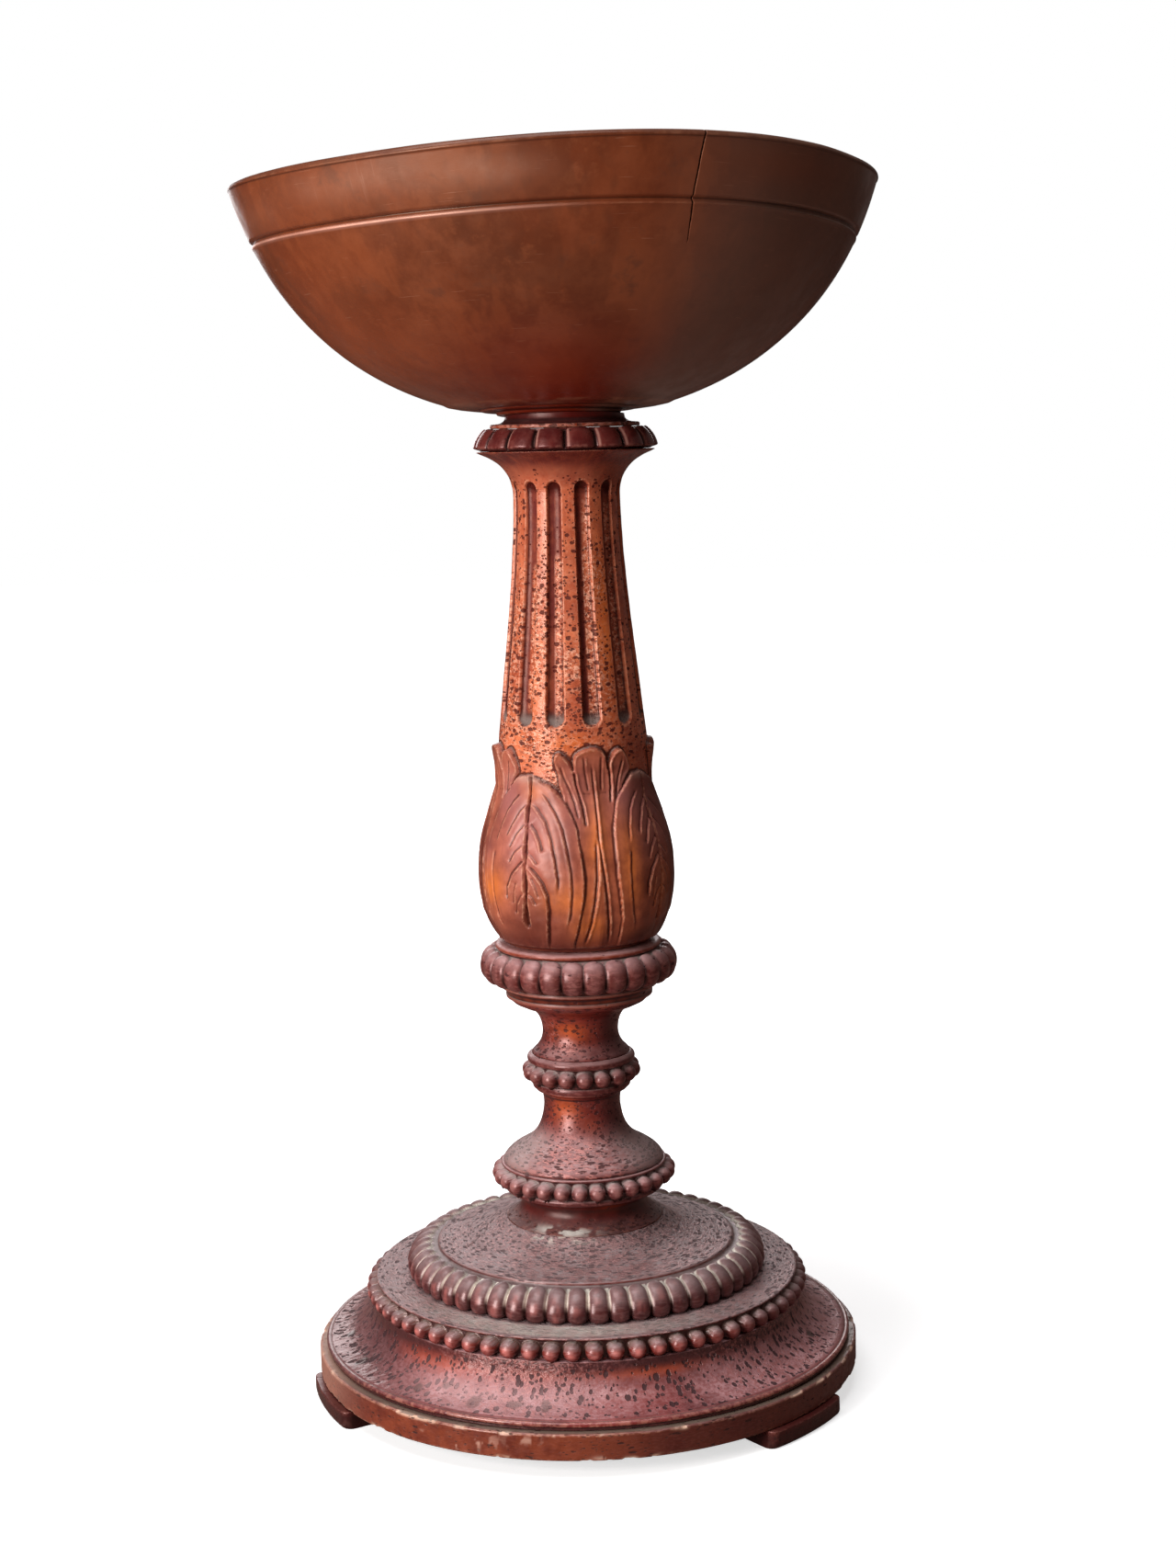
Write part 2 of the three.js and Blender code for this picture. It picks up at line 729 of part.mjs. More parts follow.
// Gadroon collar: moulded underside, a torus cut into lobes and a rounded fillet under the leaves
const collarTop = collarBottom + collarHeight;
const collarBore = collarTenonRadius + fit;
const columnBore = columnTenonRadius + fit;
const torusProfile = [
  [collarTorusReach - 6, collarBottom + 18.6, 0.8],
  [collarTorusReach - 0.6, collarBottom + 25, 1],
  [collarTorusReach - 0.4, collarBottom + 32, 0.95],
  [collarTorusReach - 6.5, collarBottom + 39.5, 0.8],
];
addPiece(
  "gadroon_collar",
  loft([
    ring(holeSides, 0, collarBottom + collarTenonLength + endClearance),
    ring(holeSides, collarBore, collarBottom + collarTenonLength + endClearance),
    ring(holeSides, collarBore, collarBottom),
    ring(stemSides, collarFootRadius - 1.4, collarBottom),
    ring(stemSides, collarFootRadius, collarBottom + 2.5),
    ring(stemSides, collarStepRadius - 1, collarBottom + 10),
    ring(stemSides, collarStepRadius, collarBottom + 12),
    ring(stemSides, collarStepRadius + 2, collarBottom + 16),
    ...lobeRings(collarLobes, collarLobePhase, torusProfile, collarLobeDepth),
    ring(stemSides, collarTopRadius + 1.4, collarBottom + 41.6),
    ring(stemSides, collarTopRadius + 1, collarTop - 2.6),
    ring(stemSides, collarTopRadius - 1.6, collarTop),
    ring(holeSides, columnBore, collarTop),
    ring(holeSides, columnBore, collarTop - columnTenonLength - endClearance),
    ring(holeSides, 0, collarTop - columnTenonLength - endClearance),
  ]),
  dustyRed,
);

// Surface of the bulb between the leaves, as heights above the column's foot
const bulbGround = new THREE.SplineCurve([
  new THREE.Vector2(bulbFootRadius, 0),
  new THREE.Vector2(bulbFootRadius + 8.5, 14),
  new THREE.Vector2(bulbRadius - 2.2, 34),
  new THREE.Vector2(bulbRadius, bulbWidestHeight),
  new THREE.Vector2(bulbRadius - 2.4, 84),
  new THREE.Vector2(bulbRadius - 9, 108),
  new THREE.Vector2(shaftFootRadius + 3.4, 130),
  new THREE.Vector2(shaftFootRadius + 1, 148),
  new THREE.Vector2(shaftFootRadius, bulbHeight),
]);
const bulbSamples = bulbGround.getPoints(120);

function bulbRadiusAt(height) {
  const above = bulbSamples.findIndex((point) => point.y >= height);
  if (above <= 0) return bulbSamples[above < 0 ? bulbSamples.length - 1 : 0].x;
  const low = bulbSamples[above - 1];
  const high = bulbSamples[above];
  const share = (height - low.y) / (high.y - low.y);
  return low.x + share * (high.x - low.x);
}

// Half width in degrees of a low leaf at a height, from its foot to its pointed tip
function lowLeafSpan(height) {
  const reach = height > lowLeafWidest ? lowLeafTip - lowLeafWidest : lowLeafTip;
  const away = (height - lowLeafWidest) / reach;
  return Math.max(leafEdge * 3, lowLeafHalfWidth * Math.sqrt(Math.max(0, 1 - away * away)));
}

// Half width in degrees of a tall leaf above its widest place
function tallLeafSpan(height) {
  const away = Math.max(0, height - tallLeafWidest) / (tallLeafTip + 2 - tallLeafWidest);
  return tallLeafHalfWidth * Math.sqrt(Math.max(0, 1 - away * away));
}

// Points of one ring over a half of a leaf pair, from the low leaf's slit to the tall leaf's middle,
// as [degrees from the slit, how far the carving stands out from the ground]
function leafStations(height) {
  const halfPitch = 180 / leafPairs;
  const span = lowLeafSpan(height);
  const tallEdge = Math.max(halfPitch - tallLeafSpan(height), span + 3 * leafEdge);
  const onLow = height <= lowLeafTip ? lowLeafRelief : 0;
  const onTall = height <= tallLeafTip ? tallLeafRelief : 0;
  const lowCurl = onLow && leafTipCurl * 0.6 * Math.max(0, (height / lowLeafTip - 0.8) * 5);
  const tallCurl = onTall && leafTipCurl * Math.max(0, (height / tallLeafTip - 0.75) * 4);
  const slit = onLow && height > slitFoot ? leafSlitDepth : 0;
  return [
    [0, onLow + lowCurl - slit],
    [leafEdge, onLow + lowCurl],
    [span / 2, onLow * 1.25 + lowCurl],
    [span - leafEdge, onLow * 0.8 + lowCurl * 0.5],
    [span + leafEdge, 0],
    [tallEdge - leafEdge, 0],
    [tallEdge + leafEdge, onTall + tallCurl * 0.7],
    [(tallEdge + 2 * halfPitch) / 3, onTall + tallCurl],
    [halfPitch, onTall * 1.6 + tallCurl],
  ];
}

function leafRing(height) {
  const half = leafStations(height);
  const between = half.slice(1, -1).reverse();
  const mirrored = between.map(([turn, relief]) => [360 / leafPairs - turn, relief]);
  const points = [];
  for (let pair = 0; pair < leafPairs; pair += 1) {
    for (const [turn, relief] of [...half, ...mirrored]) {
      const angle = (lowLeafDirection + (360 * pair) / leafPairs + turn) * radians;
      const radius = bulbRadiusAt(height) + relief;
      points.push([radius * Math.sin(angle), -radius * Math.cos(angle), columnBottom + height]);
    }
  }
  return points;
}

const leafTipLevels = [lowLeafTip, lowLeafTip + 1.2, 160, tallLeafTip, tallLeafTip + 1.2];
const leafLevels = [0, 10, 30, 58, 84, 106, 128, ...leafTipLevels];
const leafRings = leafLevels.map(leafRing);

// Shaft with a slight swell, then the hollow flare up to the capital's lip
const shaftBottom = columnBottom + bulbHeight;
const shaftTop = shaftBottom + shaftHeight;
const columnTop = columnBottom + columnHeight;
const shaftProfile = bend(
  [shaftFootRadius, shaftBottom],
  [shaftNeckRadius + 2.6, shaftTop - shaftHeight * 0.28],
  [shaftNeckRadius, shaftTop],
  3,
);
const flareProfile = bend(
  [shaftNeckRadius + 0.4, shaftTop + 8],
  [shaftNeckRadius + 2, columnTop - capitalLipHeight - 3],
  [capitalLipRadius - 1.5, columnTop - capitalLipHeight],
  5,
);

function shaftRadiusAt(height) {
  const above = shaftProfile.findIndex(([, z]) => z >= height);
  if (above < 0) return shaftNeckRadius;
  if (above === 0) return shaftFootRadius;
  const [lowRadius, lowZ] = shaftProfile[above - 1];
  const [highRadius, highZ] = shaftProfile[above];
  return lowRadius + ((height - lowZ) / (highZ - lowZ)) * (highRadius - lowRadius);
}

// A flute's cutter: round in section, tapering with the shaft and round at both ends
function fluteCutter(direction) {
  const bottom = columnBottom + fluteBottom;
  const top = columnBottom + fluteTop;
  const sections = [];
  const halfWidthAt = (height) => shaftRadiusAt(height) * Math.sin(fluteHalfWidth * radians);
  const add = (height, share) => {
    const halfWidth = halfWidthAt(height);
    const depth = halfWidth * fluteDepthShare;
    const cutterRadius = (halfWidth * halfWidth + depth * depth) / (2 * depth);
    const reach = shaftRadiusAt(height) + cutterRadius - depth;
    sections.push({ height, radius: cutterRadius * share, reach });
  };
  add(bottom, 0);
  add(bottom + halfWidthAt(bottom) * 0.3, 0.7);
  add(bottom + halfWidthAt(bottom), 1);
  add(top - halfWidthAt(top), 1);
  add(top - halfWidthAt(top) * 0.3, 0.7);
  add(top, 0);
  const rings = sections.map((section) => ring(fluteSides, section.radius, section.height));
  const placed = rings.map((points, i) => points.map(([x, y, z]) => [x, y - sections[i].reach, z]));
  return loft(placed).rotateZ(direction * radians);
}

const dowelBottom = columnTop + spigotHeight - dowelBelow;
const columnCutters = [bar(dowelRadius + fit, dowelBottom - endClearance, columnTop + 40)];
for (let i = 0; i < flutes; i += 1) columnCutters.push(fluteCutter(flutePhase + (360 * i) / flutes));
const columnBody = loft([
  ring(holeSides, 0, columnBottom - columnTenonLength),
  ring(holeSides, columnTenonRadius, columnBottom - columnTenonLength),
  ring(holeSides, columnTenonRadius, columnBottom),
  ...leafRings,
  ...plainRings([...shaftProfile, ...flareProfile], columnSides),
  ring(columnSides, capitalLipRadius, columnTop - capitalLipHeight + 0.8),
  ring(columnSides, capitalLipRadius, columnTop),
  ring(holeSides, spigotRadius, columnTop),
  ring(holeSides, spigotRadius, columnTop + spigotHeight),
  ring(holeSides, 0, columnTop + spigotHeight),
]);
addPiece("column", cutFrom(columnBody, columnCutters), orangeBrown);

// Capital: a ring of lobes slipped over the column's spigot
const capitalTop = capitalBottom + capitalHeight;
const capitalProfile = [
  [capitalReach - 1, capitalBottom + 1, 0.95],
  [capitalReach, capitalBottom + 4, 1],
  [capitalReach - 3, capitalBottom + 10, 0.95],
  [capitalTopRadius + 4.5, capitalBottom + 15, 0.7],
];
addPiece(
  "capital_ring",
  loft(
    [
      ring(holeSides, spigotRadius + fit, capitalBottom),
      ring(columnSides, capitalLipRadius - 4, capitalBottom),
      ...lobeRings(capitalLobes, capitalLobePhase, capitalProfile, capitalLobeDepth),
      ring(columnSides, capitalTopRadius, capitalTop - 0.6),
      ring(columnSides, capitalTopRadius - 1, capitalTop),
      ring(holeSides, spigotRadius + fit, capitalTop),
    ],
    true,
  ),
  darkRed,
);

// Bowl, warped as its timber shrank, and leaning back on the neck cap
function bowlReach(share) {
  const away = Math.abs(bowlFullness - share) / (bowlFullness + bowlPoleDepth);
  return (1 - away ** bowlCurvePower) ** (1 / bowlCurvePower);
}

function bowlOuterRadius(height) {
  return (bowlRimRadius * bowlReach(height / bowlHeight)) / bowlReach(1);
}

function warpAt(direction, radius) {
  const saddle = bowlWarp * Math.cos(2 * (direction - bowlWarpDirection) * radians);
  const lean = bowlLean * Math.sin(direction * radians);
  return (saddle - lean) * (radius / bowlRimRadius) ** bowlWarpPower;
}

function outerPoints(from, to, steps) {
  const points = [];
  for (let i = 0; i <= steps; i += 1) {
    const height = from + ((to - from) * i) / steps;
    points.push([bowlOuterRadius(height), height]);
  }
  return points;
}

const bowlGrooveHeight = bowlHeight - bowlGrooveDrop;
const grooveBottom = bowlGrooveHeight - bowlGrooveWidth / 2;
const grooveTop = bowlGrooveHeight + bowlGrooveWidth / 2;
const bowlInner = bowlInnerLevels.map((share) => {
  const radius = ((bowlRimRadius - bowlWall) * bowlReach(share)) / bowlReach(1);
  return [radius, bowlFloor + share * (bowlHeight - bowlRimRound - bowlFloor)];
});
const bowlProfile = [
  [0, 0],
  [bowlFootRadius, 0],
  [bowlFootRadius + 0.6, bowlFootHeight],
  ...outerPoints(bowlFootHeight + 3.2, bowlHeight * 0.12, 1),
  ...outerPoints(bowlHeight * 0.265, grooveBottom, 3),
  [bowlOuterRadius(bowlGrooveHeight - 1) - bowlGrooveDepth, bowlGrooveHeight - 1],
  [bowlOuterRadius(grooveTop) - bowlGrooveDepth * 0.4, grooveTop],
  ...outerPoints(grooveTop + 2, bowlHeight - bowlRimRound * 0.6, 1),
  [bowlRimRadius - bowlRimRound / 2, bowlHeight],
  [bowlRimRadius - bowlWall + bowlRimRound * 0.7, bowlHeight],
  ...bowlInner,
  [0, bowlFloor],
];
const bowlRings = bowlProfile.map(([radius, height]) => {
  return ring(bowlSides, radius, (direction, r) => height + warpAt(direction, r), bowlPhase);
});

function seatBowl(geometry) {
  const tilt = new THREE.Matrix4().makeRotationX(-bowlTilt * radians);
  const place = new THREE.Matrix4().makeTranslation(bowlOffset, -bowlForward, bowlBottom);
  return geometry.applyMatrix4(tilt).applyMatrix4(place);
}

const dowelTop = bowlBottom + dowelInBowl;
const bowlSocket = bar(dowelRadius + fit, bowlBottom - 10, dowelTop + endClearance);
addPiece("bowl", cutFrom(seatBowl(loft(bowlRings)), [bowlSocket]), bowlBrown);
addPiece("bowl_dowel", bar(dowelRadius, dowelBottom, dowelTop), bareWood);

// Neck cap: fillet and cove under the bowl, its top planed to the bowl's tilt
const aboveSeat = new THREE.BoxGeometry(4 * neckCapFilletRadius, 4 * neckCapFilletRadius, 40);
const neckCapSeat = seatBowl(aboveSeat.translate(0, 0, 20 - glueLine));
const neckCapFilletTop = neckCapBottom + neckCapFilletHeight;
addPiece(
  "neck_cap",
  cutFrom(
    turned(
      [
        [0, neckCapBottom],
        [neckCapFilletRadius, neckCapBottom],
        [neckCapFilletRadius, neckCapFilletTop],
        ...bend(
          [neckCapFilletRadius - 2.5, neckCapFilletTop],
          [neckCapCoveRadius, neckCapFilletTop + 0.5],
          [neckCapCoveRadius, neckCapFilletTop + 6],
          3,
        ),
        [neckCapCoveRadius + 0.6, neckCapBottom + neckCapHeight + 4],
        [0, neckCapBottom + neckCapHeight + 4],
      ],
      columnSides,
    ),
    [neckCapSeat, bar(dowelRadius + fit, neckCapBottom - 5, neckCapBottom + 40)],
  ),
  darkRed,
);

export default object;
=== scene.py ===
"""Looks of a carved wooden pedestal bowl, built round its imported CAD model.

Sizes are in millimetres until a mesh is made, and in metres after that. Directions are in degrees
from the front (-Y) towards the right (+X). Surfaces are grids of points: a row for each point of a
turned profile, a column for each direction.
"""

import math

import bpy
import numpy as np
from mathutils import Matrix, Vector


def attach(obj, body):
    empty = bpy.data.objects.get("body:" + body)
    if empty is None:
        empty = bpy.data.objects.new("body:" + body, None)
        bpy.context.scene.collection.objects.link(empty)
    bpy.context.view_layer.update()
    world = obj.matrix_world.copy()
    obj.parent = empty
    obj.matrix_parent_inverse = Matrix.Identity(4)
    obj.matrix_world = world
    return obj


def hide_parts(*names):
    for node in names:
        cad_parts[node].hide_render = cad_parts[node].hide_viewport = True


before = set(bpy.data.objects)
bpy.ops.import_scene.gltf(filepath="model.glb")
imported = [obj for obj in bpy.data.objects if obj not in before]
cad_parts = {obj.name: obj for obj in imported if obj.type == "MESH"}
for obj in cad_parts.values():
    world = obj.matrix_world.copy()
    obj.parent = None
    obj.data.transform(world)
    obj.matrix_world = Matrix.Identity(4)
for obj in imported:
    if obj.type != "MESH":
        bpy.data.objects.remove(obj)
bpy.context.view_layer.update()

MM = 0.001

# ---------------------------------------------------------------- numbers shared with the CAD
SLAB_RADIUS = 228.0
SLAB_BOTTOM, SLAB_TOP = 15.1, 36.4
COVE_BOTTOM, COVE_TOP = 36.7, 75.7
MIDDLE_BOTTOM, MIDDLE_TOP = 76.0, 94.0
UPPER_BOTTOM, UPPER_RIM, UPPER_CROWN = 94.3, 120.3, 138.3
NECK_BOTTOM, NECK_TOP = 138.6, 163.3
BEADED_BOTTOM, BEADED_TOP = 163.6, 187.3
VASE_BOTTOM, VASE_TOP = 187.6, 250.0
KNOP_BOTTOM, KNOP_TOP = 250.3, 279.9
SPOOL_BOTTOM, SPOOL_TOP = 280.2, 328.5
COLLAR_BOTTOM, COLLAR_TOP = 328.8, 376.0
COLUMN_BOTTOM, COLUMN_TOP = 376.3, 780.3
CAPITAL_BOTTOM, CAPITAL_TOP = 780.6, 798.3
CAP_BOTTOM, BOWL_BOTTOM = 798.6, 809.1
FOOT_HEIGHT = 14.8
SHRINKAGE = 0.1  # by which the turnings stand inside the solids


# ---------------------------------------------------------------- noise
def lattice(cell, seed):
    n = cell[..., 0] * 374761393 + cell[..., 1] * 668265263 + cell[..., 2] * 1442695041
    n = (n + seed * 974634777) & 0xFFFFFFFF
    n = ((n ^ (n >> 13)) * 1274126177) & 0xFFFFFFFF
    return ((n ^ (n >> 16)) & 0xFFFFFF) / 0xFFFFFF * 2 - 1


def noise(points, size, seed):
    """Smooth noise from -1 to 1 with features about `size` apart."""
    q = np.asarray(points, float) / size
    cell = np.floor(q).astype(np.int64)
    t = q - cell
    t = t * t * (3 - 2 * t)
    total = np.zeros(q.shape[:-1])
    for corner in np.ndindex(2, 2, 2):
        weight = np.prod(np.where(corner, t, 1 - t), axis=-1)
        total += weight * lattice(cell + np.array(corner), seed)
    return total


def fbm(points, size, seed, octaves):
    total = sum(noise(points, size / 2**i, seed + 31 * i) / 2**i for i in range(octaves))
    return total / (2 - 2.0 ** (1 - octaves))


def step(low, high, value):
    """Smooth step from 0 at `low` to 1 at `high`."""
    t = np.clip((value - low) / (high - low), 0, 1)
    return t * t * (3 - 2 * t)


def bell(value, width):
    """1 at 0, falling off to both sides."""
    return np.exp(-((value / width) ** 2))


# ---------------------------------------------------------------- profiles and skins
def curve(points):
    """Smooth line through a few points, 24 times as many."""
    p = np.asarray(points, float)
    t = np.concatenate([[0], np.cumsum(np.linalg.norm(np.diff(p, axis=0), axis=1))])
    slope = np.gradient(p, t, axis=0)
    u = np.linspace(0, t[-1], 24 * len(p))
    i = np.clip(np.searchsorted(t, u, side="right") - 1, 0, len(t) - 2)
    h = (t[i + 1] - t[i])[:, None]
    s = (u - t[i])[:, None] / h
    start = (1 + 2 * s) * (1 - s) ** 2 * p[i] + s * (1 - s) ** 2 * h * slope[i]
    end = s * s * (3 - 2 * s) * p[i + 1] + s * s * (s - 1) * h * slope[i + 1]
    return start + end


def resample(points, spacing):
    length = np.concatenate([[0], np.cumsum(np.linalg.norm(np.diff(points, axis=0), axis=1))])
    count = max(1, round(length[-1] / spacing))
    at = np.linspace(0, length[-1], count + 1)
    return np.stack([np.interp(at, length, points[:, k]) for k in range(points.shape[1])], 1)


def profile(start, *runs, spacing=0.9):
    """[radius, height] rows. A run of one point is a straight line, a longer one a smooth curve."""
    rows = [np.array([start], float)]
    for run in runs:
        points = np.vstack([rows[-1][-1:], np.atleast_2d(run)])
        path = points if len(points) == 2 else curve(points)
        rows.append(resample(path, spacing)[1:])
    return np.vstack(rows)


def nearest(rows, radius, height):
    """Index of the row nearest to a point of the profile."""
    return int(np.argmin(np.hypot(rows[:, 0] - radius, rows[:, 1] - height)))


def around(count, phase=0.0):
    return phase + 360.0 * np.arange(count) / count


def bearing(directions, start=0.0):
    """The same directions counted from `start`, from -180 to 180, as one row."""
    return ((directions - start + 180) % 360 - 180)[None, :]


def bead_directions(beads, phase, share, each, gap):
    """Directions that crowd towards the edges of each bead, whose width is `share` of the pitch."""
    pitch = 360.0 / beads
    inside = np.sin(np.radians(np.linspace(-90, 90, each))) * share * pitch / 2
    between = np.linspace(share / 2, 1 - share / 2, gap + 2)[1:-1] * pitch
    one = np.concatenate([inside, between])
    return np.concatenate([phase + i * pitch + one for i in range(beads)])


def swept(radius, height, directions):
    """Points at a radius and height in each direction."""
    a = np.radians(directions)[None, :]
    return np.stack([radius * np.sin(a), -radius * np.cos(a), height + 0 * a], 2)


class Turned:
    """A turned surface: the [radius, height] rows of its profile, in each direction."""

    def __init__(self, rows, directions):
        self.rows, self.directions = rows, directions
        self.r, self.z, self.at = rows[:, :1], rows[:, 1:], bearing(directions)

    def lifted(self, lift=0.0):
        """Points, each lifted along the profile's normal by lift[row, column]."""
        tangent = np.gradient(self.rows, axis=0)
        tangent /= np.maximum(np.linalg.norm(tangent, axis=1, keepdims=True), 1e-9)
        r, z = self.r + lift * tangent[:, 1:], self.z - lift * tangent[:, :1]
        return swept(r, z, self.directions)

    def wander(self, size, seed, octaves=2):
        """Noise over the surface, for the slips of hand work and shrinkage."""
        return fbm(self.lifted(), size, seed, octaves)

    def patches(self, *spots):
        """Soft patches at (direction, height, half width in degrees, half height, strength)."""
        total = 0 * (self.z + self.at)
        for direction, height, wide, tall, strength in spots:
            across = bearing(self.directions, direction) / wide
            total += strength * np.exp(-(across**2) - ((self.z - height) / tall) ** 2)
        return np.clip(total, 0, 1)


def blurred(field, rows, columns):
    """Mean over windows of rows and columns, twice over. The columns wrap round."""
    for axis, width, mode in ((0, rows, "edge"), (1, columns, "wrap")):
        for _ in range(2):
            pad = [(0, 0)] * field.ndim
            pad[axis] = (width + 1, width)
            total = np.cumsum(np.pad(field, pad, mode=mode), axis=axis)
            ahead = np.take(total, range(2 * width + 1, total.shape[axis]), axis=axis)
            behind = np.take(total, range(0, total.shape[axis] - 2 * width - 1), axis=axis)
            field = (ahead - behind) / (2 * width + 1)
    return field


def grid_normals(points):
    down = np.gradient(points, axis=0)
    across = np.roll(points, -1, 1) - np.roll(points, 1, 1)
    n = np.cross(across, down)
    return n / np.maximum(np.linalg.norm(n, axis=2, keepdims=True), 1e-12)


def skin(node, how, slot, material, points, along=None, second=None, **facts):
    """Piece that replaces a node: a grid of points, closed round its columns and at both ends.

    Each point also gets what its material reads: how hollow and how sharp the surface is there, how
    far it faces up, a place in the turning's own skin for marks that run along or across it, and
    the facts given. `second` is another material and the share of it at each point.
    """
    rows, columns = points.shape[:2]
    steps = [np.median(np.linalg.norm(np.diff(points, axis=axis), axis=2)) for axis in (0, 1)]
    normal = grid_normals(points)
    masks = {}
    for key, size, full in (("sharp", 1.3, 0.2), ("fine", 2.2, 0.28), ("wide", 7.0, 1.6)):
        window = [min(max(1, round(size / s / 1.6)), m // 3) for s, m in zip(steps, points.shape)]
        lift = ((blurred(points, *window) - points) * normal).sum(2) / full
        masks["hollow_" + key] = np.clip(lift, 0, 1)
        masks["edge_" + key] = np.clip(-lift, 0, 1)
    values = {
        "hollow": np.clip(0.7 * masks["hollow_fine"] + 0.7 * masks["hollow_wide"], 0, 1),
        "edge": np.clip(masks["edge_sharp"] + 0.15 * masks["edge_wide"], 0, 1),
        "up": np.clip(normal[..., 2], -1, 1),
        "crease": masks["hollow_fine"],
    }
    for key, value in facts.items():
        values[key] = np.maximum(values.get(key, -1.0), value)
    down = np.linalg.norm(np.diff(points, axis=0), axis=2).mean(1)
    length = np.concatenate([[0], np.cumsum(down)])[:, None]
    a = np.arctan2(points[..., 0], -points[..., 1])
    size = along or float(np.median(np.hypot(points[..., 0], points[..., 1])))
    place = np.stack([size * np.sin(a), -size * np.cos(a), length + 0 * a], 2)

    index = np.arange(rows * columns).reshape(rows, columns)
    right = np.roll(index, -1, 1)
    quads = np.stack([index[:-1], right[:-1], right[1:], index[1:]], 2).reshape(-1, 4)
    faces = quads.tolist() + [index[0][::-1].tolist(), index[-1].tolist()]
    name = f"{node}_{how}"
    mesh = bpy.data.meshes.new(name)
    mesh.from_pydata((points.reshape(-1, 3) * MM).tolist(), [], faces)
    mesh.polygons.foreach_set("use_smooth", [True] * len(quads) + [False, False])
    for key, value in values.items():
        layer = mesh.attributes.new(key, "FLOAT", "POINT")
        full = np.broadcast_to(value, (rows, columns)).astype(np.float32)
        layer.data.foreach_set("value", full.ravel())
    layer = mesh.attributes.new("place", "FLOAT_VECTOR", "POINT")
    layer.data.foreach_set("vector", (place * MM).astype(np.float32).ravel())
    mesh.materials.append(material)
    if second:
        mesh.materials.append(second[0])
        chosen = (second[1][:-1] > 0.5).ravel().astype(np.int32).tolist() + [0, 0]
        mesh.polygons.foreach_set("material_index", chosen)
    mesh.update()
    piece = bpy.data.objects.new(name, mesh)
    bpy.context.scene.collection.objects.link(piece)
    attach(piece, "root")
    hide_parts(node)


# ---------------------------------------------------------------- materials
def rgb(red, green, blue):
    """Colour from sRGB values of 0 to 255."""
    parts = [v / 255 for v in (red, green, blue)]
    return [v / 12.92 if v <= 0.04045 else ((v + 0.055) / 1.055) ** 2.4 for v in parts] + [1.0]


class Graph:
    """Short names for the nodes that the materials are made of."""

    def __init__(self, tree):
        tree.nodes.clear()
        self.tree = tree

    def node(self, kind, inputs=(), **settings):
        made = self.tree.nodes.new("ShaderNode" + kind)
        for key, value in settings.items():
            setattr(made, key, value)
        for key, value in dict(inputs).items():
            if isinstance(value, bpy.types.NodeSocket):
                self.tree.links.new(value, made.inputs[key])
            else:
                made.inputs[key].default_value = value
        return made

    def value(self, name, output="Fac"):
        return self.node("Attribute", attribute_name=name).outputs[output]

    def body(self):
        return self.node("TexCoord").outputs["Object"]

    def math(self, operation, a, b=0.0, clamp=False):
        return self.node("Math", {0: a, 1: b}, operation=operation, use_clamp=clamp).outputs[0]

    def times(self, a, *others):
        for b in others:
            a = self.math("MULTIPLY", a, b)
        return a

    def plus(self, a, *others):
        for b in others:
            a = self.math("ADD", a, b, clamp=True)
        return a

    def ramp(self, value, low, high, to_low=0.0, to_high=1.0):
        inputs = {"Value": value, 1: low, 2: high, 3: to_low, 4: to_high}
        return self.node("MapRange", inputs, interpolation_type="SMOOTHSTEP").outputs[0]

    def vector(self, operation, a, b=(0, 0, 0)):
        return self.node("VectorMath", {0: a, 1: b}, operation=operation).outputs

    def scaled(self, vector, scale):
        return self.vector("MULTIPLY", vector, scale)[0]

    def noise(self, vector, scale, detail=3.0, rough=0.5, warp=0.0):
        inputs = {"Vector": vector, "Scale": scale, "Detail": detail, "Roughness": rough}
        return self.node("TexNoise", {**inputs, "Distortion": warp}).outputs["Fac"]

    def paint(self, base, *layers):
        """An sRGB colour under layers of (how much, sRGB colour)."""
        colour = rgb(*base)
        for share, tone in layers:
            inputs = {0: share, 6: colour, 7: rgb(*tone)}
            colour = self.node("Mix", inputs, data_type="RGBA").outputs[2]
        return colour

    def ragged(self, vector, amount):
        """The same vector pushed about by fine noise, which makes what is drawn with it ragged."""
        push = self.node("TexNoise", {"Vector": vector, "Scale": 520.0, "Detail": 2.0})
        centred = self.vector("SUBTRACT", push.outputs["Color"], (0.5,) * 3)[0]
        return self.vector("ADD", vector, self.scaled(centred, (amount,) * 3))[0]

    def pits(self, vector, size, share, low, high):
        """Spots of `low` to `high` of a cell, whose size is in mm, in a share of the cells."""
        cell = self.node("TexVoronoi", {"Vector": vector, "Scale": 1000 / size, "Randomness": 1.0})
        pick = self.node("SeparateColor", {0: cell.outputs["Color"]})
        radius = self.node("MapRange", {"Value": pick.outputs[0], 3: low, 4: high}).outputs[0]
        inside = self.ramp(self.math("SUBTRACT", radius, cell.outputs["Distance"]), -0.03, 0.06)
        return self.times(inside, self.math("LESS_THAN", pick.outputs[1], share))

    def bump(self, height, strength, distance):
        inputs = {"Height": height, "Strength": strength, "Distance": distance}
        return self.node("Bump", inputs).outputs[0]

    def surface(self, inputs):
        """The material's surface, a principled shader with these inputs."""
        shader = self.node("BsdfPrincipled", inputs)
        self.node("OutputMaterial", {"Surface": shader.outputs[0]})

    def to_camera(self, shown, hidden):
        """Shader that the camera sees, and another for all other rays."""
        path = self.node("LightPath")
        inputs = {0: path.outputs["Is Camera Ray"], 1: hidden.outputs[0], 2: shown.outputs[0]}
        return self.node("MixShader", inputs).outputs[0]


def new_material(name):
    material = bpy.data.materials.new(name)
    material.use_nodes = True
    return material, Graph(material.node_tree)


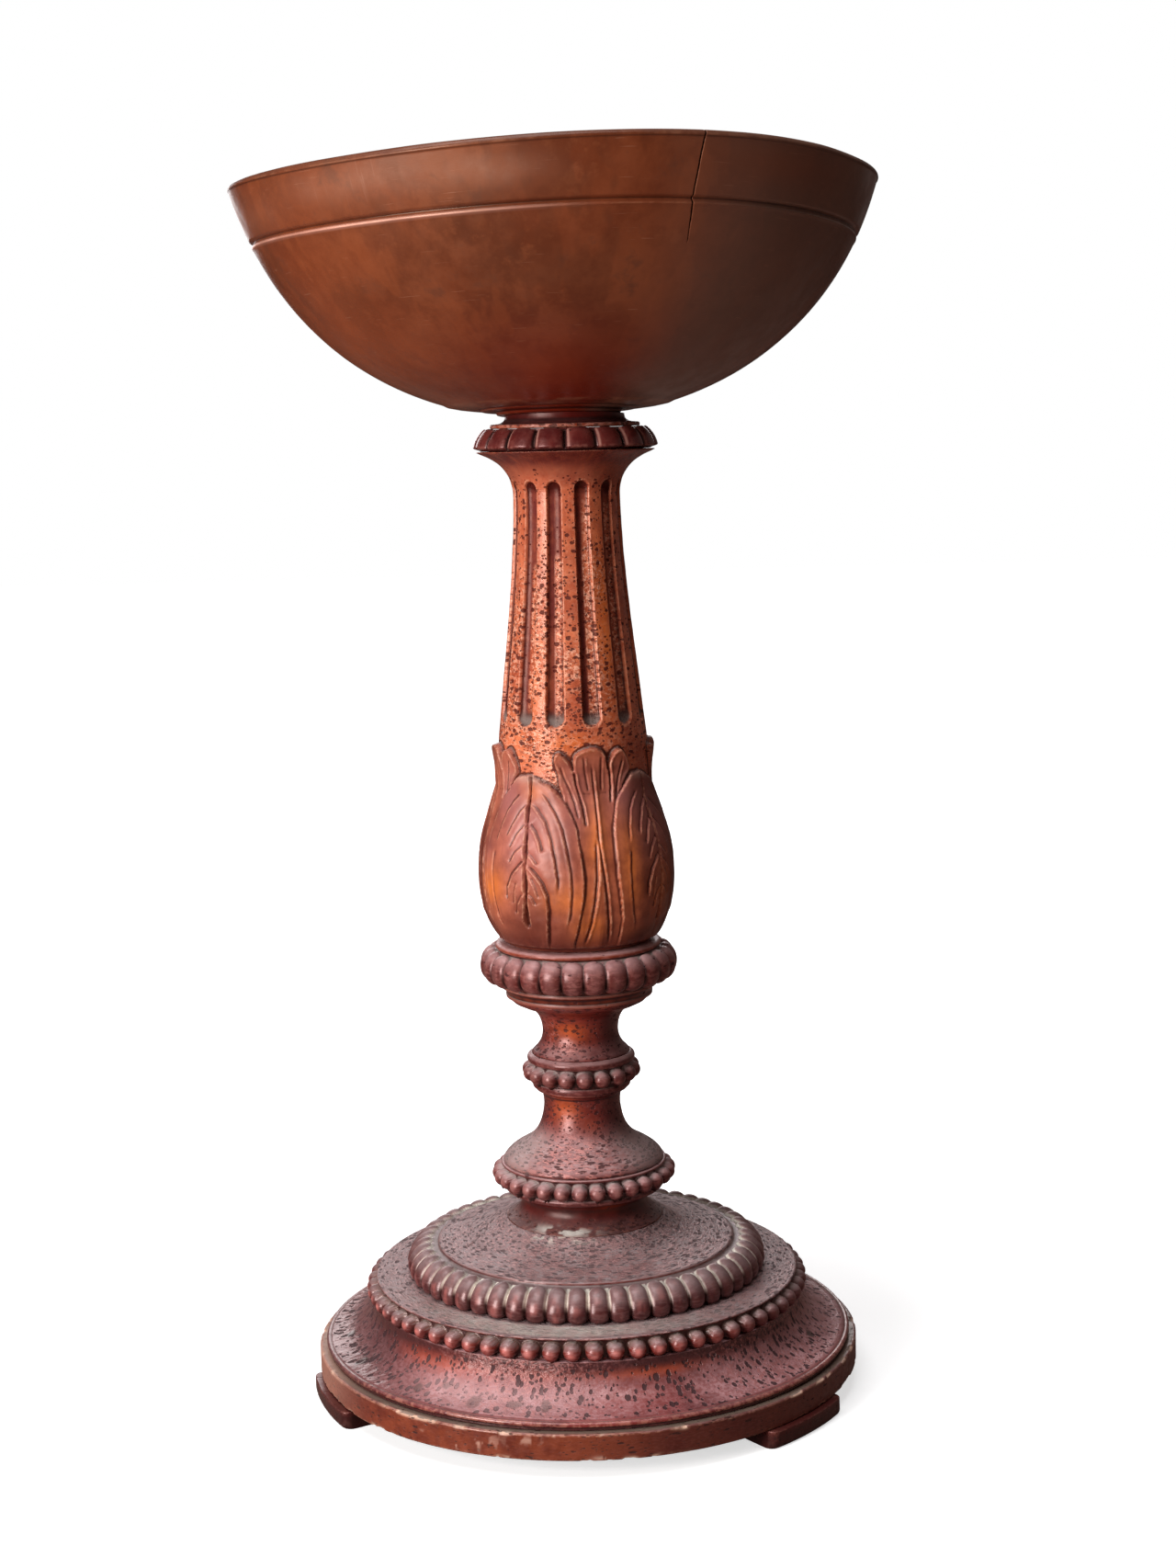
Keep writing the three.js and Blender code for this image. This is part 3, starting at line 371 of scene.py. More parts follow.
def old_varnish(
    name, light, dark, tint, warm, pit=(50, 28, 32), dust=(150, 124, 126), lint=(176, 166, 160),
    worn=(200, 150, 132), dirt=(34, 12, 12), bloom=(206, 134, 126), shine=(255, 214, 206),
    ash=(204, 196, 188), stain=(92, 90, 84), veil=(184, 120, 118),
    spots=(5.0, 0.6, (1, 1, 1)), dashes=(2.4, 0.5, (1, 1, 1)), mark=0.93, grain=0.4, lumps=0.8,
    fibre=(1, 1, 8), dull=0.0, pale=0.5, film=0.5, film_low=0.3, lodge=0.8, crevice=0.8, wear=0.4,
    rough=(0.24, 0.4), bump=0.6, coat=0.3, coat_rough=0.16,
):
    """Aged varnish: mottled tones, dark pits and stains, worn edges, grime, a dusty film and lodged
    lint, with painted shade, sheen, glints and highlights where a mesh asks for them.

    A mesh steers it with the attributes pitted, bloomed, tinted, warmed, veiled,
    stained and ashy.
    Spots and dashes are large and small pits: cell in mm, share of the cells, stretch.
    """
    material, g = new_material(name)
    place, body = g.value("place", "Vector"), g.body()
    pitted, bloomed, tinted, up = (g.value(key) for key in ("pitted", "bloomed", "tinted", "up"))
    # Where a mesh asks for it, the surface gets painted glints and sheen, a dusty film and fine
    # grain.
    grainy_here = g.times(bloomed, bloomed)
    dashed = g.scaled(place, dashes[2])

    # Masks of the varnish itself, and of glints, which are painted highlights
    patch = g.noise(body, 75, 4, 0.6)
    grit = g.noise(dashed, 400, 3, 0.6)
    streak = g.noise(g.scaled(place, fibre), 70, 3, 0.6)
    mottle = g.plus(g.times(g.noise(body, 15, 3, 0.55), 0.55), g.times(patch, 0.45))
    # Glints: pale specks painted in as highlights.
    glint = g.times(g.ramp(grit, 0.48, 0.6), grainy_here, pale)
    dusk = g.times(g.ramp(g.noise(dashed, 330, 3, 0.7), 0.47, 0.37), grainy_here, grain)
    often = g.times(pitted, g.ramp(g.noise(body, 34, 2), 0.36, 0.56, 0.35, 1.0))
    cells = g.ragged(g.scaled(place, spots[2]), 0.0016)
    large = g.pits(cells, spots[0], g.times(often, spots[1]), 0.16, 0.46)
    small = g.pits(g.ragged(dashed, 0.001), dashes[0], g.times(often, dashes[1]), 0.16, 0.44)
    marks = g.math("MAXIMUM", large, g.times(small, 0.9))

    # Masks of grime and painted shade, wear, a dusty film with painted sheen, lint, ashen marks and
    # painted highlights
    # Dark in the hollows: grime, and painted shade where a mesh marks the sides of lobes or the
    # crevices under beads as hollow.
    soil = g.times(g.ramp(g.value("hollow"), 0.3, 0.9), crevice)
    rub = g.times(g.ramp(g.value("edge"), 0.3, 0.95), g.ramp(g.noise(body, 230, 3, 0.6), 0.4, 0.6))
    rub = g.times(rub, g.ramp(tinted, 0.3, 1.0, wear, wear * 0.25))
    # Film on surfaces that face up: dust, and painted sheen standing in for reflected sky light.
    settled = g.times(g.ramp(up, film_low, 0.98), g.ramp(patch, 0.3, 0.7, 0.65, 1.15))
    settled = g.times(settled, g.ramp(bloomed, 0.0, 0.6, 0.28, 1.0))
    grainy = g.times(g.ramp(grit, 0.42, 0.62), pitted, 0.6)
    settled = g.times(g.math("SUBTRACT", settled, g.times(settled, grainy)), film)
    lodged = g.times(g.ramp(g.value("crease"), 0.3, 0.75), g.ramp(up, 0.05, 0.4))
    lodged = g.times(lodged, g.ramp(g.noise(body, 150, 3, 0.6), 0.3, 0.55, lodge * 0.5, lodge))
    # Pale ashen marks, lint and scrapes, and painted highlights and sheen where a mesh puts them.
    ashes = g.times(g.value("ashy"), g.ramp(grit, 0.25, 0.6, 0.75, 1.0))
    colour = g.paint(
        dark,
        (g.ramp(mottle, 0.38, 0.62), light),
        # A darker tone: the varnish's own tint, and painted shade where a mesh puts it.
        (g.times(tinted, g.ramp(patch, 0.3, 0.6, 0.75, 1.0)), tint),
        (g.times(g.value("warmed"), g.ramp(patch, 0.3, 0.6, 0.6, 1.0)), warm),
        (g.ramp(streak, 0.5, 0.72, 0.0, 0.35), dark),
        # Painted sheen and highlights, such as the lit crowns of beads and lobes and the sheen on
        # the leaves.
        (g.value("veiled"), veil),
        (glint, bloom),
        (dusk, pit),
        (soil, dirt),
        (rub, worn),
        (settled, dust),
        (g.times(g.value("stained"), 0.85), stain),
        (g.times(marks, mark), pit),
        (lodged, lint),
        (ashes, ash),
    )

    lodged = g.plus(lodged, ashes)
    gloss = g.ramp(g.noise(body, 120, 3), 0.35, 0.65, *rough)
    matt = g.plus(g.times(settled, 0.25), g.plus(g.times(lodged, 0.4), g.times(marks, 0.3)))
    fine = g.math("ADD", g.times(grit, 1.1), g.times(g.noise(place, 950, 2, 0.6), 0.35))
    height = g.math("SUBTRACT", g.times(fine, grainy_here), g.times(marks, 0.7))
    height = g.math("ADD", height, g.times(g.noise(body, 110, 2), lumps))
    normal = g.bump(height, bump, 0.0011)
    covered = g.plus(g.times(settled, 0.7), g.plus(lodged, marks))
    bare = g.math("SUBTRACT", 1.0, covered, clamp=True)
    g.surface({
        "Base Color": colour,
        "Roughness": g.plus(gloss, matt),
        "Normal": normal,
        "Specular Tint": rgb(*shine),
        "Specular IOR Level": g.ramp(tinted, 0.0, 1.0, 0.5, 0.5 - 0.35 * dull),
        "Coat Normal": normal,
        "Coat Weight": g.times(bare, g.ramp(tinted, 0.0, 1.0, 1.0, 1.0 - dull), coat),
        "Coat Roughness": coat_rough,
        "Coat Tint": rgb(*shine),
    })
    return material


def bowl_lacquer(name):
    """Dark satin lacquer, clouded and scuffed, ruddy below, with a scratched and dented skin."""
    material, g = new_material(name)
    body = g.body()
    wrapped = {0: g.value("inside"), 4: g.value("place", "Vector"), 5: body}
    place = g.node("Mix", wrapped, data_type="VECTOR").outputs[1]
    crack, brink = g.value("crack"), g.value("brink")
    clouds = g.noise(body, 9, 5, 0.65, 0.2)
    blots = g.noise(body, 26, 5, 0.7, 0.1)
    cast = g.noise(body, 3.6, 3, 0.5)
    tone = g.plus(g.times(clouds, 0.55), g.times(blots, 0.45))
    wiped = g.noise(g.scaled(place, (1, 1, 0.45)), 15, 4, 0.6)
    sheen = g.times(g.value("sheen"), g.ramp(blots, 0.36, 0.6, 1.0, 0.55))
    upright = g.noise(g.scaled(place, (9, 9, 0.5)), 26, 2, 0.5)
    scratch = g.ramp(g.noise(g.scaled(place, (1, 1, 30)), 34, 2, 0.5), 0.7, 0.76)
    rub = g.times(g.ramp(g.value("edge"), 0.5, 1.0, 0.0, 0.35), g.ramp(blots, 0.45, 0.6))
    nicks = g.pits(g.ragged(g.scaled(place, (0.5, 0.5, 1.0)), 0.001), 26, 0.16, 0.02, 0.06)
    chips = g.pits(g.ragged(g.scaled(place, (0.6, 0.6, 1.6)), 0.001), 44, 0.12, 0.01, 0.025)
    colour = g.paint(
        (92, 46, 28),
        (g.ramp(tone, 0.4, 0.6), (132, 72, 45)),
        (g.ramp(cast, 0.42, 0.62, 0.0, 0.4), (128, 54, 24)),
        (g.ramp(blots, 0.54, 0.7, 0.0, 0.5), (72, 44, 36)),
        (g.ramp(blots, 0.44, 0.31, 0.0, 0.42), (152, 84, 52)),
        (g.ramp(wiped, 0.5, 0.55, 0.0, 0.35), (86, 44, 28)),
        (g.ramp(wiped, 0.42, 0.37, 0.0, 0.3), (150, 78, 44)),
        (g.times(g.value("ruddy"), 0.85), (114, 23, 6)),
        # Painted light: the right side made lighter and greyer where the lamp's light falls off.
        (g.times(g.value("greyed"), 0.7), (120, 94, 82)),
        (g.times(g.value("tawny"), 0.5), (150, 70, 30)),
        (g.times(sheen, 0.7), (190, 138, 114)),
        # Light streaks in the painted sheen.
        (g.times(g.ramp(upright, 0.62, 0.74), sheen, 0.3), (218, 170, 146)),
        (g.times(scratch, 0.3), (186, 132, 106)),
        (g.ramp(g.value("hollow"), 0.2, 0.9, 0.0, 0.75), (34, 16, 12)),
        (g.value("lit"), (238, 176, 156)),
        (rub, (170, 116, 88)),
        (g.times(nicks, 0.85), (30, 15, 12)),
        (chips, (196, 150, 120)),
        (g.times(brink, 0.55), (52, 30, 22)),
        (crack, (9, 5, 5)),
    )
    rough = g.ramp(g.noise(body, 45, 4, 0.6), 0.35, 0.65, 0.3, 0.44)
    fine = g.noise(g.scaled(place, (1, 1, 3)), 420, 2)
    height = g.math("ADD", g.times(g.noise(body, 40, 3), 0.6), g.times(fine, 0.16))
    dim = g.math("MAXIMUM", crack, g.times(brink, 0.2))
    g.surface({
        "Base Color": colour,
        "Roughness": g.plus(rough, g.times(crack, 0.5)),
        "Normal": g.bump(g.math("SUBTRACT", height, g.times(nicks, 0.4)), 0.35, 0.0007),
        "Specular Tint": rgb(255, 218, 190),
        "Specular IOR Level": g.ramp(dim, 0.0, 0.3, 0.5, 0.0),
        "Coat Weight": g.ramp(crack, 0.0, 0.3, 0.14, 0.0),
        "Coat Roughness": 0.25,
    })
    return material


ORANGE = old_varnish(
    "orange_varnish",
    light=(229, 136, 96), dark=(176, 88, 60), tint=(108, 46, 42), warm=(228, 122, 48),
    pit=(84, 24, 20), dust=(196, 140, 132), worn=(244, 184, 152), dirt=(62, 14, 10),
    ash=(126, 112, 106), bloom=(252, 196, 168), shine=(255, 206, 186),
    spots=(3.9, 1.2, (0.65, 0.65, 1.0)), dashes=(2.4, 1.1, (0.7, 0.7, 1.0)), grain=0.6, lumps=0.5,
    fibre=(4, 4, 0.6), dull=0.8, pale=0.8, film=0.3, film_low=0.5, lodge=0.3, crevice=0.9, wear=0.5,
    rough=(0.26, 0.4), bump=0.8, coat=0.35, coat_rough=0.28,
)
LEAF = old_varnish(
    "leaf_varnish",
    light=(182, 104, 80), dark=(130, 66, 50), tint=(84, 32, 24), warm=(224, 124, 46),
    pit=(84, 30, 26), dust=(180, 128, 126), lint=(170, 136, 124), worn=(232, 172, 140),
    dirt=(70, 24, 16), ash=(196, 172, 160), shine=(255, 216, 206), lumps=0.6, fibre=(5, 5, 0.5),
    film=0.42, film_low=0.2, lodge=0.05, crevice=0.85, rough=(0.36, 0.5), bump=0.4, coat=0.22,
    coat_rough=0.32,
)
PLUM = old_varnish(
    "plum_varnish",
    light=(126, 52, 42), dark=(82, 32, 30), tint=(74, 36, 38), warm=(190, 98, 44), pit=(60, 24, 26),
    dust=(196, 166, 166), lint=(134, 122, 114), ash=(168, 155, 152), veil=(206, 164, 160),
    bloom=(236, 178, 170), shine=(255, 200, 196), spots=(3.4, 1.0, (0.6, 0.6, 1.0)),
    dashes=(2.1, 1.0, (0.6, 0.6, 1.0)), mark=0.85, grain=0.6, pale=0.7, lumps=0.3, film=0.85,
    film_low=0.1, lodge=0.7, crevice=1.0, wear=0.15, rough=(0.28, 0.4), bump=0.7, coat=0.6,
    coat_rough=0.31,
)
BASE = old_varnish(
    "base_varnish",
    light=(126, 54, 52), dark=(86, 34, 37), tint=(58, 34, 38), warm=(178, 76, 26), pit=(52, 31, 35),
    dust=(192, 150, 154), lint=(130, 116, 110), stain=(50, 49, 46), ash=(214, 172, 172),
    bloom=(214, 154, 150), spots=(6.4, 1.8, (1.2, 1.2, 0.8)), dashes=(3.4, 0.45, (0.8, 0.8, 1.0)),
    film=0.75, film_low=0.05, lodge=0.5, crevice=1.0, rough=(0.24, 0.36), bump=0.9, coat=0.6,
    coat_rough=0.2,
)
TOPS = old_varnish(
    "top_varnish",
    light=(112, 62, 58), dark=(86, 44, 44), tint=(60, 27, 31), warm=(140, 52, 36), pit=(78, 56, 58),
    stain=(104, 98, 88), dust=(154, 145, 146), lint=(118, 108, 98), ash=(232, 224, 210),
    veil=(212, 148, 142), bloom=(196, 178, 178), shine=(255, 206, 202),
    spots=(4.6, 1.0, (0.5, 0.5, 1.2)), dashes=(3.0, 1.3, (0.42, 0.42, 1.25)), mark=0.75, grain=0.8,
    lumps=0.25, pale=0.7, film=0.85, film_low=0.12, lodge=0.2, crevice=1.0, wear=0.12,
    rough=(0.3, 0.42), bump=0.9, coat=0.8, coat_rough=0.27,
)
SLAB = old_varnish(
    "slab_varnish",
    light=(136, 68, 44), dark=(98, 42, 30), tint=(66, 31, 31), warm=(240, 208, 180),
    pit=(54, 24, 20), stain=(112, 104, 92), worn=(214, 166, 140), lint=(150, 130, 122),
    ash=(200, 156, 138), spots=(5.0, 0.25, (0.6, 0.6, 2.0)), dashes=(2.4, 0.4, (0.6, 0.6, 2.0)),
    film=0.6, lodge=0.6, wear=0.35, crevice=0.7, rough=(0.28, 0.42), bump=0.5, coat_rough=0.25,
)
DARK = old_varnish(
    "dark_varnish",
    light=(106, 42, 38), dark=(82, 28, 28), tint=(40, 25, 25), warm=(150, 60, 36), pit=(34, 18, 20),
    worn=(210, 150, 134), dust=(128, 100, 98), lint=(170, 140, 130), ash=(196, 146, 132),
    shine=(255, 196, 190), spots=(4.2, 0.3, (1, 1, 1)), dashes=(2.4, 0.4, (1, 1, 1)), lumps=0.2,
    film=0.2, lodge=0.3, crevice=1.0, wear=0.18, rough=(0.26, 0.36), bump=0.35, coat=0.22,
    coat_rough=0.24,
)
RED = old_varnish(
    "red_varnish",
    light=(94, 16, 10), dark=(58, 9, 7), tint=(60, 14, 12), warm=(150, 64, 36),
    bloom=(206, 140, 124), dust=(126, 102, 102), pit=(62, 28, 26), spots=(4.0, 0.6, (0.6, 0.6, 1)),
    dashes=(2.4, 0.8, (0.6, 0.6, 1)), mark=0.8, lumps=0.3, film=0.48, film_low=0.1, lodge=0.0,
    wear=0.3, rough=(0.34, 0.46), bump=0.5, coat=0.2, coat_rough=0.32,
)
BOWL = bowl_lacquer("bowl_lacquer")


# ---------------------------------------------------------------- base
def rounded_block(direction, node):
    """Foot: a curved block, its lower outer edge rounded under, its corners softened by wear."""
    outer, inner, half, corner = SLAB_RADIUS + 5.5, 187.5, 12.0, 7.0
    quarter = np.radians(np.linspace(0, 90, 9))
    levels = [(3.5 * (1 - math.sin(t)), 5.0 * (1 - math.cos(t))) for t in quarter]
    levels += [(0.0, z) for z in np.linspace(5.6, FOOT_HEIGHT - 0.6, 12)] + [(0.5, FOOT_HEIGHT)]
    loops = []
    for inset, z in levels:
        far = outer - inset
        straight = far - corner - inner
        turn_by = math.degrees(corner / far)
        bend = [
            (far - corner + corner * math.sin(a), half - turn_by * (1 - math.cos(a)))
            for a in np.radians(np.linspace(0, 90, 10))
        ]
        path = [(inner, -half * s) for s in np.linspace(-1, 1, 46)]
        path += [(inner + s * straight, -half) for s in np.linspace(0, 1, 18)[1:]]
        path += [(r, -off) for r, off in bend[1:]]
        path += [(far, s * bend[-1][1]) for s in np.linspace(-1, 1, 60)[1:-1]]
        path += bend[::-1]
        path += [(inner + s * straight, half) for s in np.linspace(1, 0, 18)[1:-1]]
        r, off = np.array(path).T
        a = np.radians(direction + off)
        loops.append(np.stack([r * np.sin(a), -r * np.cos(a), z + 0 * a], 1))
    points = np.array(loops)
    wobble = fbm(points, 14, 401 + round(direction), 3)[..., None]
    away = points - points.mean((0, 1))
    away[..., 2] = 0
    away /= np.maximum(np.linalg.norm(away, axis=2, keepdims=True), 1e-9)
    points = points + away * (0.35 * wobble - 0.35)
    shaded = 0.95 - 0.35 * step(FOOT_HEIGHT - 5, FOOT_HEIGHT - 1, points[..., 2])
    skin(node, "carved", "feet", DARK, points, SLAB_RADIUS, pitted=0.4, bloomed=0.0, tinted=shaded)


rounded_block(50, "foot_right")
rounded_block(-70, "foot_left")
rounded_block(170, "foot_rear")

# Slab: plain disc, its top edge chipped and bruised
slab_rows = profile(
    (60, SLAB_BOTTOM), (220, SLAB_BOTTOM), (SLAB_RADIUS - 0.6, SLAB_BOTTOM),
    (SLAB_RADIUS, SLAB_BOTTOM + 0.8), (SLAB_RADIUS, SLAB_TOP - 1.3), (SLAB_RADIUS - 1.2, SLAB_TOP),
    (216, SLAB_TOP), (200, SLAB_TOP), spacing=0.8,
)
under_slab = (slab_rows[:, 0] < 219) & (slab_rows[:, 1] < SLAB_BOTTOM + 0.1)
slab_rows = slab_rows[~under_slab | (np.arange(len(slab_rows)) % 12 == 0)]
slab = Turned(slab_rows, around(1200))
r, z = slab.r, slab.z
top_edge = bell(z - SLAB_TOP, 1.7) * (r > 224.5)
low_edge = bell(z - SLAB_BOTTOM, 1.8) * (r > 224)
chips = step(0.02, 0.2, slab.wander(11, 11, 3))
chips *= step(-0.2, 0.15, slab.wander(45, 15))
dents = step(0.3, 0.6, slab.wander(26, 12))
slab_lift = 0.12 * slab.wander(40, 13) - 0.5 * top_edge * dents
slab_lift -= (1.5 * top_edge + 1.0 * low_edge) * chips
scraped = slab.patches(
    (-22, 27, 4, 7, 0.8), (-27, 21, 1.5, 4, 0.8), (-12, 31, 3, 3, 0.7), (-35, 24, 0.8, 2, 1.0),
    (2, 17, 1.5, 2, 0.8),
)
scraped *= step(0.16, 0.3, Turned(slab_rows * [1, 0.6], slab.directions).wander(6, 14, 3))
skin(
    "base_slab", "turned", "base", SLAB, slab.lifted(slab_lift - 0.15), SLAB_RADIUS,
    pitted=0.6,
    bloomed=0.3,
    warmed=np.clip((2.2 * top_edge + 1.2 * low_edge) * chips, 0, 1),
    # Darker to the right, away from the light: painted shade; a little darker at the far left too.
    tinted=0.75 * step(-12, 22, slab.at) + 0.2 * step(-50, -90, slab.at),
    ashy=np.maximum(scraped, 0.45 * step(-48, -74, slab.at)),
    stained=0.9 * ((r < 225.6) & (z > SLAB_TOP - 0.2)),
)

# Cove disc: dark step, thin lip, hollow slope
cove_rows = profile(
    (150, COVE_BOTTOM), (220.5, COVE_BOTTOM), (220.3, COVE_BOTTOM + 2.4),
    (221.6, COVE_BOTTOM + 2.7),
    [(222.2, COVE_BOTTOM + 4.0), (221.6, COVE_BOTTOM + 5.8), (220.2, COVE_BOTTOM + 6.6)],
    (218.8, COVE_BOTTOM + 6.2), (217.6, COVE_BOTTOM + 6.9),
    [(208, COVE_BOTTOM + 8.6), (197, COVE_BOTTOM + 13), (188, COVE_BOTTOM + 20),
     (182, COVE_BOTTOM + 29), (180, COVE_TOP)],
    (150, COVE_TOP),
)
cove = Turned(cove_rows, around(900))
r, z = cove.r, cove.z
cove_lift = 0.25 * cove.wander(30, 21, 3) + 0.1 * cove.wander(5, 22)
slope = step(218, 214, r) * np.ones((1, len(cove.directions)))
# Painted shade under the bead row; painted sheen at the front; dust on the far sides.
under_beads = step(63, 74, z)
lit_front = bell(cove.at + 16, 24)
dusty = 0.75 * step(14, 42, cove.at) + 0.12 * step(-60, -76, cove.at)
spread = np.random.default_rng(24)
blots = [
    (-35, 51, 1.7, 2.4), (-26, 47, 1.8, 2.2), (-16.5, 48, 2.3, 2.0), (-9.5, 48, 1.2, 2.6),
    (-42, 47, 1.4, 2.2),
]
blots += [(60 + 250 * spread.random(), 46 + 14 * spread.random(), 1.5, 2.2) for _ in range(12)]
blotted = cove.patches(*[(*blot, 1.0) for blot in blots])
# Painted shade on the parts turned away from the light and at the back.
cove_dark = cove.patches(
    (-90, 50, 30, 40, 0.8), (-66, 54, 20, 20, 0.75), (12, 65, 17, 9, 0.85), (30, 46, 14, 8, 0.12),
    (46, 64, 22, 12, 0.5), (104, 50, 40, 40, 0.85), (180, 50, 60, 40, 0.5),
)
cove_warm = cove.patches((-40, 63, 12, 6, 0.75), (15, 65, 14, 4, 0.8), (-12, 64, 8, 5, 0.4))
# Painted sheen on the left of the slope.
cove_ash = cove.patches((-32, 50, 13, 8, 0.42), (-12, 50, 12, 7, 0.3))
skin(
    "cove_disc", "turned", "base", BASE, cove.lifted(cove_lift - SHRINKAGE), 200,
    pitted=slope * step(73, 66, z),
    bloomed=slope * (0.08 + 0.92 * np.maximum(lit_front, dusty)),
    warmed=cove_warm * (1 - 0.7 * under_beads),
    tinted=np.clip(cove_dark + 0.8 * under_beads + step(39.9, 39.3, z), 0, 1),
    stained=step(0.3, 0.6, blotted + 0.5 * cove.wander(4.5, 23, 3)) * slope,
    ashy=slope * cove_ash,
)


def bead_ring(rows, beads, phase, share, each, gap, middle, radius, stand, seed):
    """Turned wall with a row of round beads.

    Its masks are the beads' upper edges, the gaps under and between them, which are given painted
    shade, and their lit crowns.
    """
    ring = Turned(rows, bead_directions(beads, phase, share, each, gap))
    wall = float(np.interp(middle, rows[:, 1], rows[:, 0]))
    pitch = 360.0 / beads
    number = np.round((ring.directions - phase) / pitch)
    rng = np.random.default_rng(seed)
    draws = [rng.random(beads)[number.astype(int) % beads] - 0.5 for _ in range(3)]
    size = radius * (1 + 0.05 * draws[0])
    off = np.radians(ring.directions - phase - number * pitch)
    across = off * (wall + stand) - 0.6 * draws[1]
    up = ring.z - middle - 0.6 * draws[2]
    q = (across**2 + up**2) / size**2
    ring.lift = np.where(q < 1, stand + np.sqrt(np.maximum(0, size**2 * (1 - q))), 0.0)
    beyond = step(1.75, 1.3, q)
    upper = step(-0.3, 0.5, up / radius)
    ring.edges = step(0.86, 1.0, q) * beyond * upper
    ring.gaps = step(0.4, 1.0, q) * beyond * (1 - upper)
    ring.crowns = step(0.4, 0.0, q) * step(56, 14, ring.at)
    return ring


def wall_of_beads(radius, bottom, top, middle, size):
    """Rows of the wall behind a bead row, crowded where the beads' edges are."""
    heights = middle + size * np.sin(np.radians(np.linspace(-90, 90, 15)))
    return [(radius, z) for z in heights if bottom < z < top] + [(radius, top)]


# Middle disc with its bead row
MIDDLE_WALL = 175.9
middle_rows = profile(
    (140, MIDDLE_BOTTOM), (MIDDLE_WALL, MIDDLE_BOTTOM),
    *wall_of_beads(MIDDLE_WALL, MIDDLE_BOTTOM + 0.2, MIDDLE_BOTTOM + 15.6, 83.2, 7.0),
    (MIDDLE_WALL + 0.4, MIDDLE_TOP - 2.2), (178.3, MIDDLE_TOP - 1.9), (178.6, MIDDLE_TOP - 0.8),
    (177.6, MIDDLE_TOP), (128, MIDDLE_TOP),
)
middle = bead_ring(
    middle_rows, beads=66, phase=1.7, share=0.87, each=13, gap=3, middle=83.2, radius=7.1,
    stand=3.7, seed=31,
)
middle.lift += 0.12 * middle.wander(24, 32)
r, z = middle.r, middle.z
top_share = step(MIDDLE_TOP - 3, MIDDLE_TOP - 0.5, z)
# Painted sheen: a pale ring on the top near its edge, strongest at the front.
pale_ring = step(148, 154, r) * step(177, 170, r) * top_share
pale_ring = pale_ring * (0.38 + 0.25 * middle.wander(9, 33, 3))
# Strength of the painted highlights on the crowns of the beads.
glitter = (0.6 + 0.9 * middle.wander(4, 34)).clip(0, 1)
skin(
    "middle_disc", "beaded", "base", TOPS, middle.lifted(middle.lift - SHRINKAGE), 165,
    pitted=0.85 * top_share,
    # More painted sheen and glints on the beads at the front.
    bloomed=np.maximum(top_share, 0.36 + 0.2 * bell(middle.at + 10, 35)),
    tinted=0.75 * (1 - top_share),
    warmed=0.5 * (1 - top_share) * step(58, 26, np.abs(middle.at + 4)),
    ashy=pale_ring * bell(middle.at + 12, 38),
    # Painted shade in the crevices under the beads, and painted highlights on their crowns.
    hollow=0.9 * middle.gaps,
    veiled=middle.crowns * glitter,
    stained=0.75 * middle.edges * (1 - top_share),
)


def lobe_ring(rows, lobes, phase, crowd, first, last, height, power, start, end, seed):
    """Turned surface with a ring of lobes between two points of its profile.

    `crowd` is what its directions are made with: share, each and gap. `start` and `end` are how far
    the lobes' rounded ends reach. The masks are their outlines, their sides, which are given
    painted shade, and their lit crowns.
    """
    ring = Turned(rows, bead_directions(lobes, phase, *crowd))
    length = np.concatenate([[0], np.cumsum(np.linalg.norm(np.diff(rows, axis=0), axis=1))])
    first, last = length[nearest(rows, *first)], length[nearest(rows, *last)]
    where = (ring.directions - phase) / (360.0 / lobes)
    number = np.round(where)
    rng = np.random.default_rng(seed)
    slip, swell = (rng.random(lobes)[number.astype(int) % lobes] - 0.5 for _ in range(2))
    across = np.abs(2 * (where - number) - 0.05 * slip) ** power
    ends = np.maximum((first + start - length) / start, (length - last + end) / end)
    ends = np.clip(ends, 0, 1.2)[:, None]
    q = across + ends**2
    ring.lift = height * (1 + 0.10 * swell) * np.maximum(0, 1 - q) ** (1 / power)
    ring.edges = bell(q - 0.98, 0.14)
    ring.sides = step(0.15, 0.95, across) * (ends < 1)
    ring.crowns = step(0.3, 0.0, q) * step(56, 14, ring.at)
    return ring


# Upper disc: gadroon lobes with rounded inner ends, then the trumpet top
upper_rows = profile(
    (110, UPPER_BOTTOM), (143, UPPER_BOTTOM), (143.4, UPPER_BOTTOM + 1.4),
    [(145.6, 98), (146.6, 101.5), (145.6, 106), (141.4, 111.6), (135.6, 115.6), (130.2, 117.6)],
    (128.4, 117.2), (126.2, 117.6), (125.4, 118.2), (125.2, 119.6), (124.4, UPPER_RIM),
    [(116, 121), (104, 122.9), (92, 125.6), (82, 129.2), (74, 133.4), (68, 137.2),
     (66, UPPER_CROWN)],
    (40, UPPER_CROWN), spacing=0.85,
)
upper = lobe_ring(
    upper_rows, lobes=54, phase=3.8, crowd=(0.96, 15, 1), first=(143.4, UPPER_BOTTOM + 1.4),
    last=(130.2, 117.6), height=5.3, power=2.0, start=4.6, end=11.0, seed=41,
)
upper.lift += 0.15 * upper.wander(28, 42, 3)
r, z = upper.r, upper.z
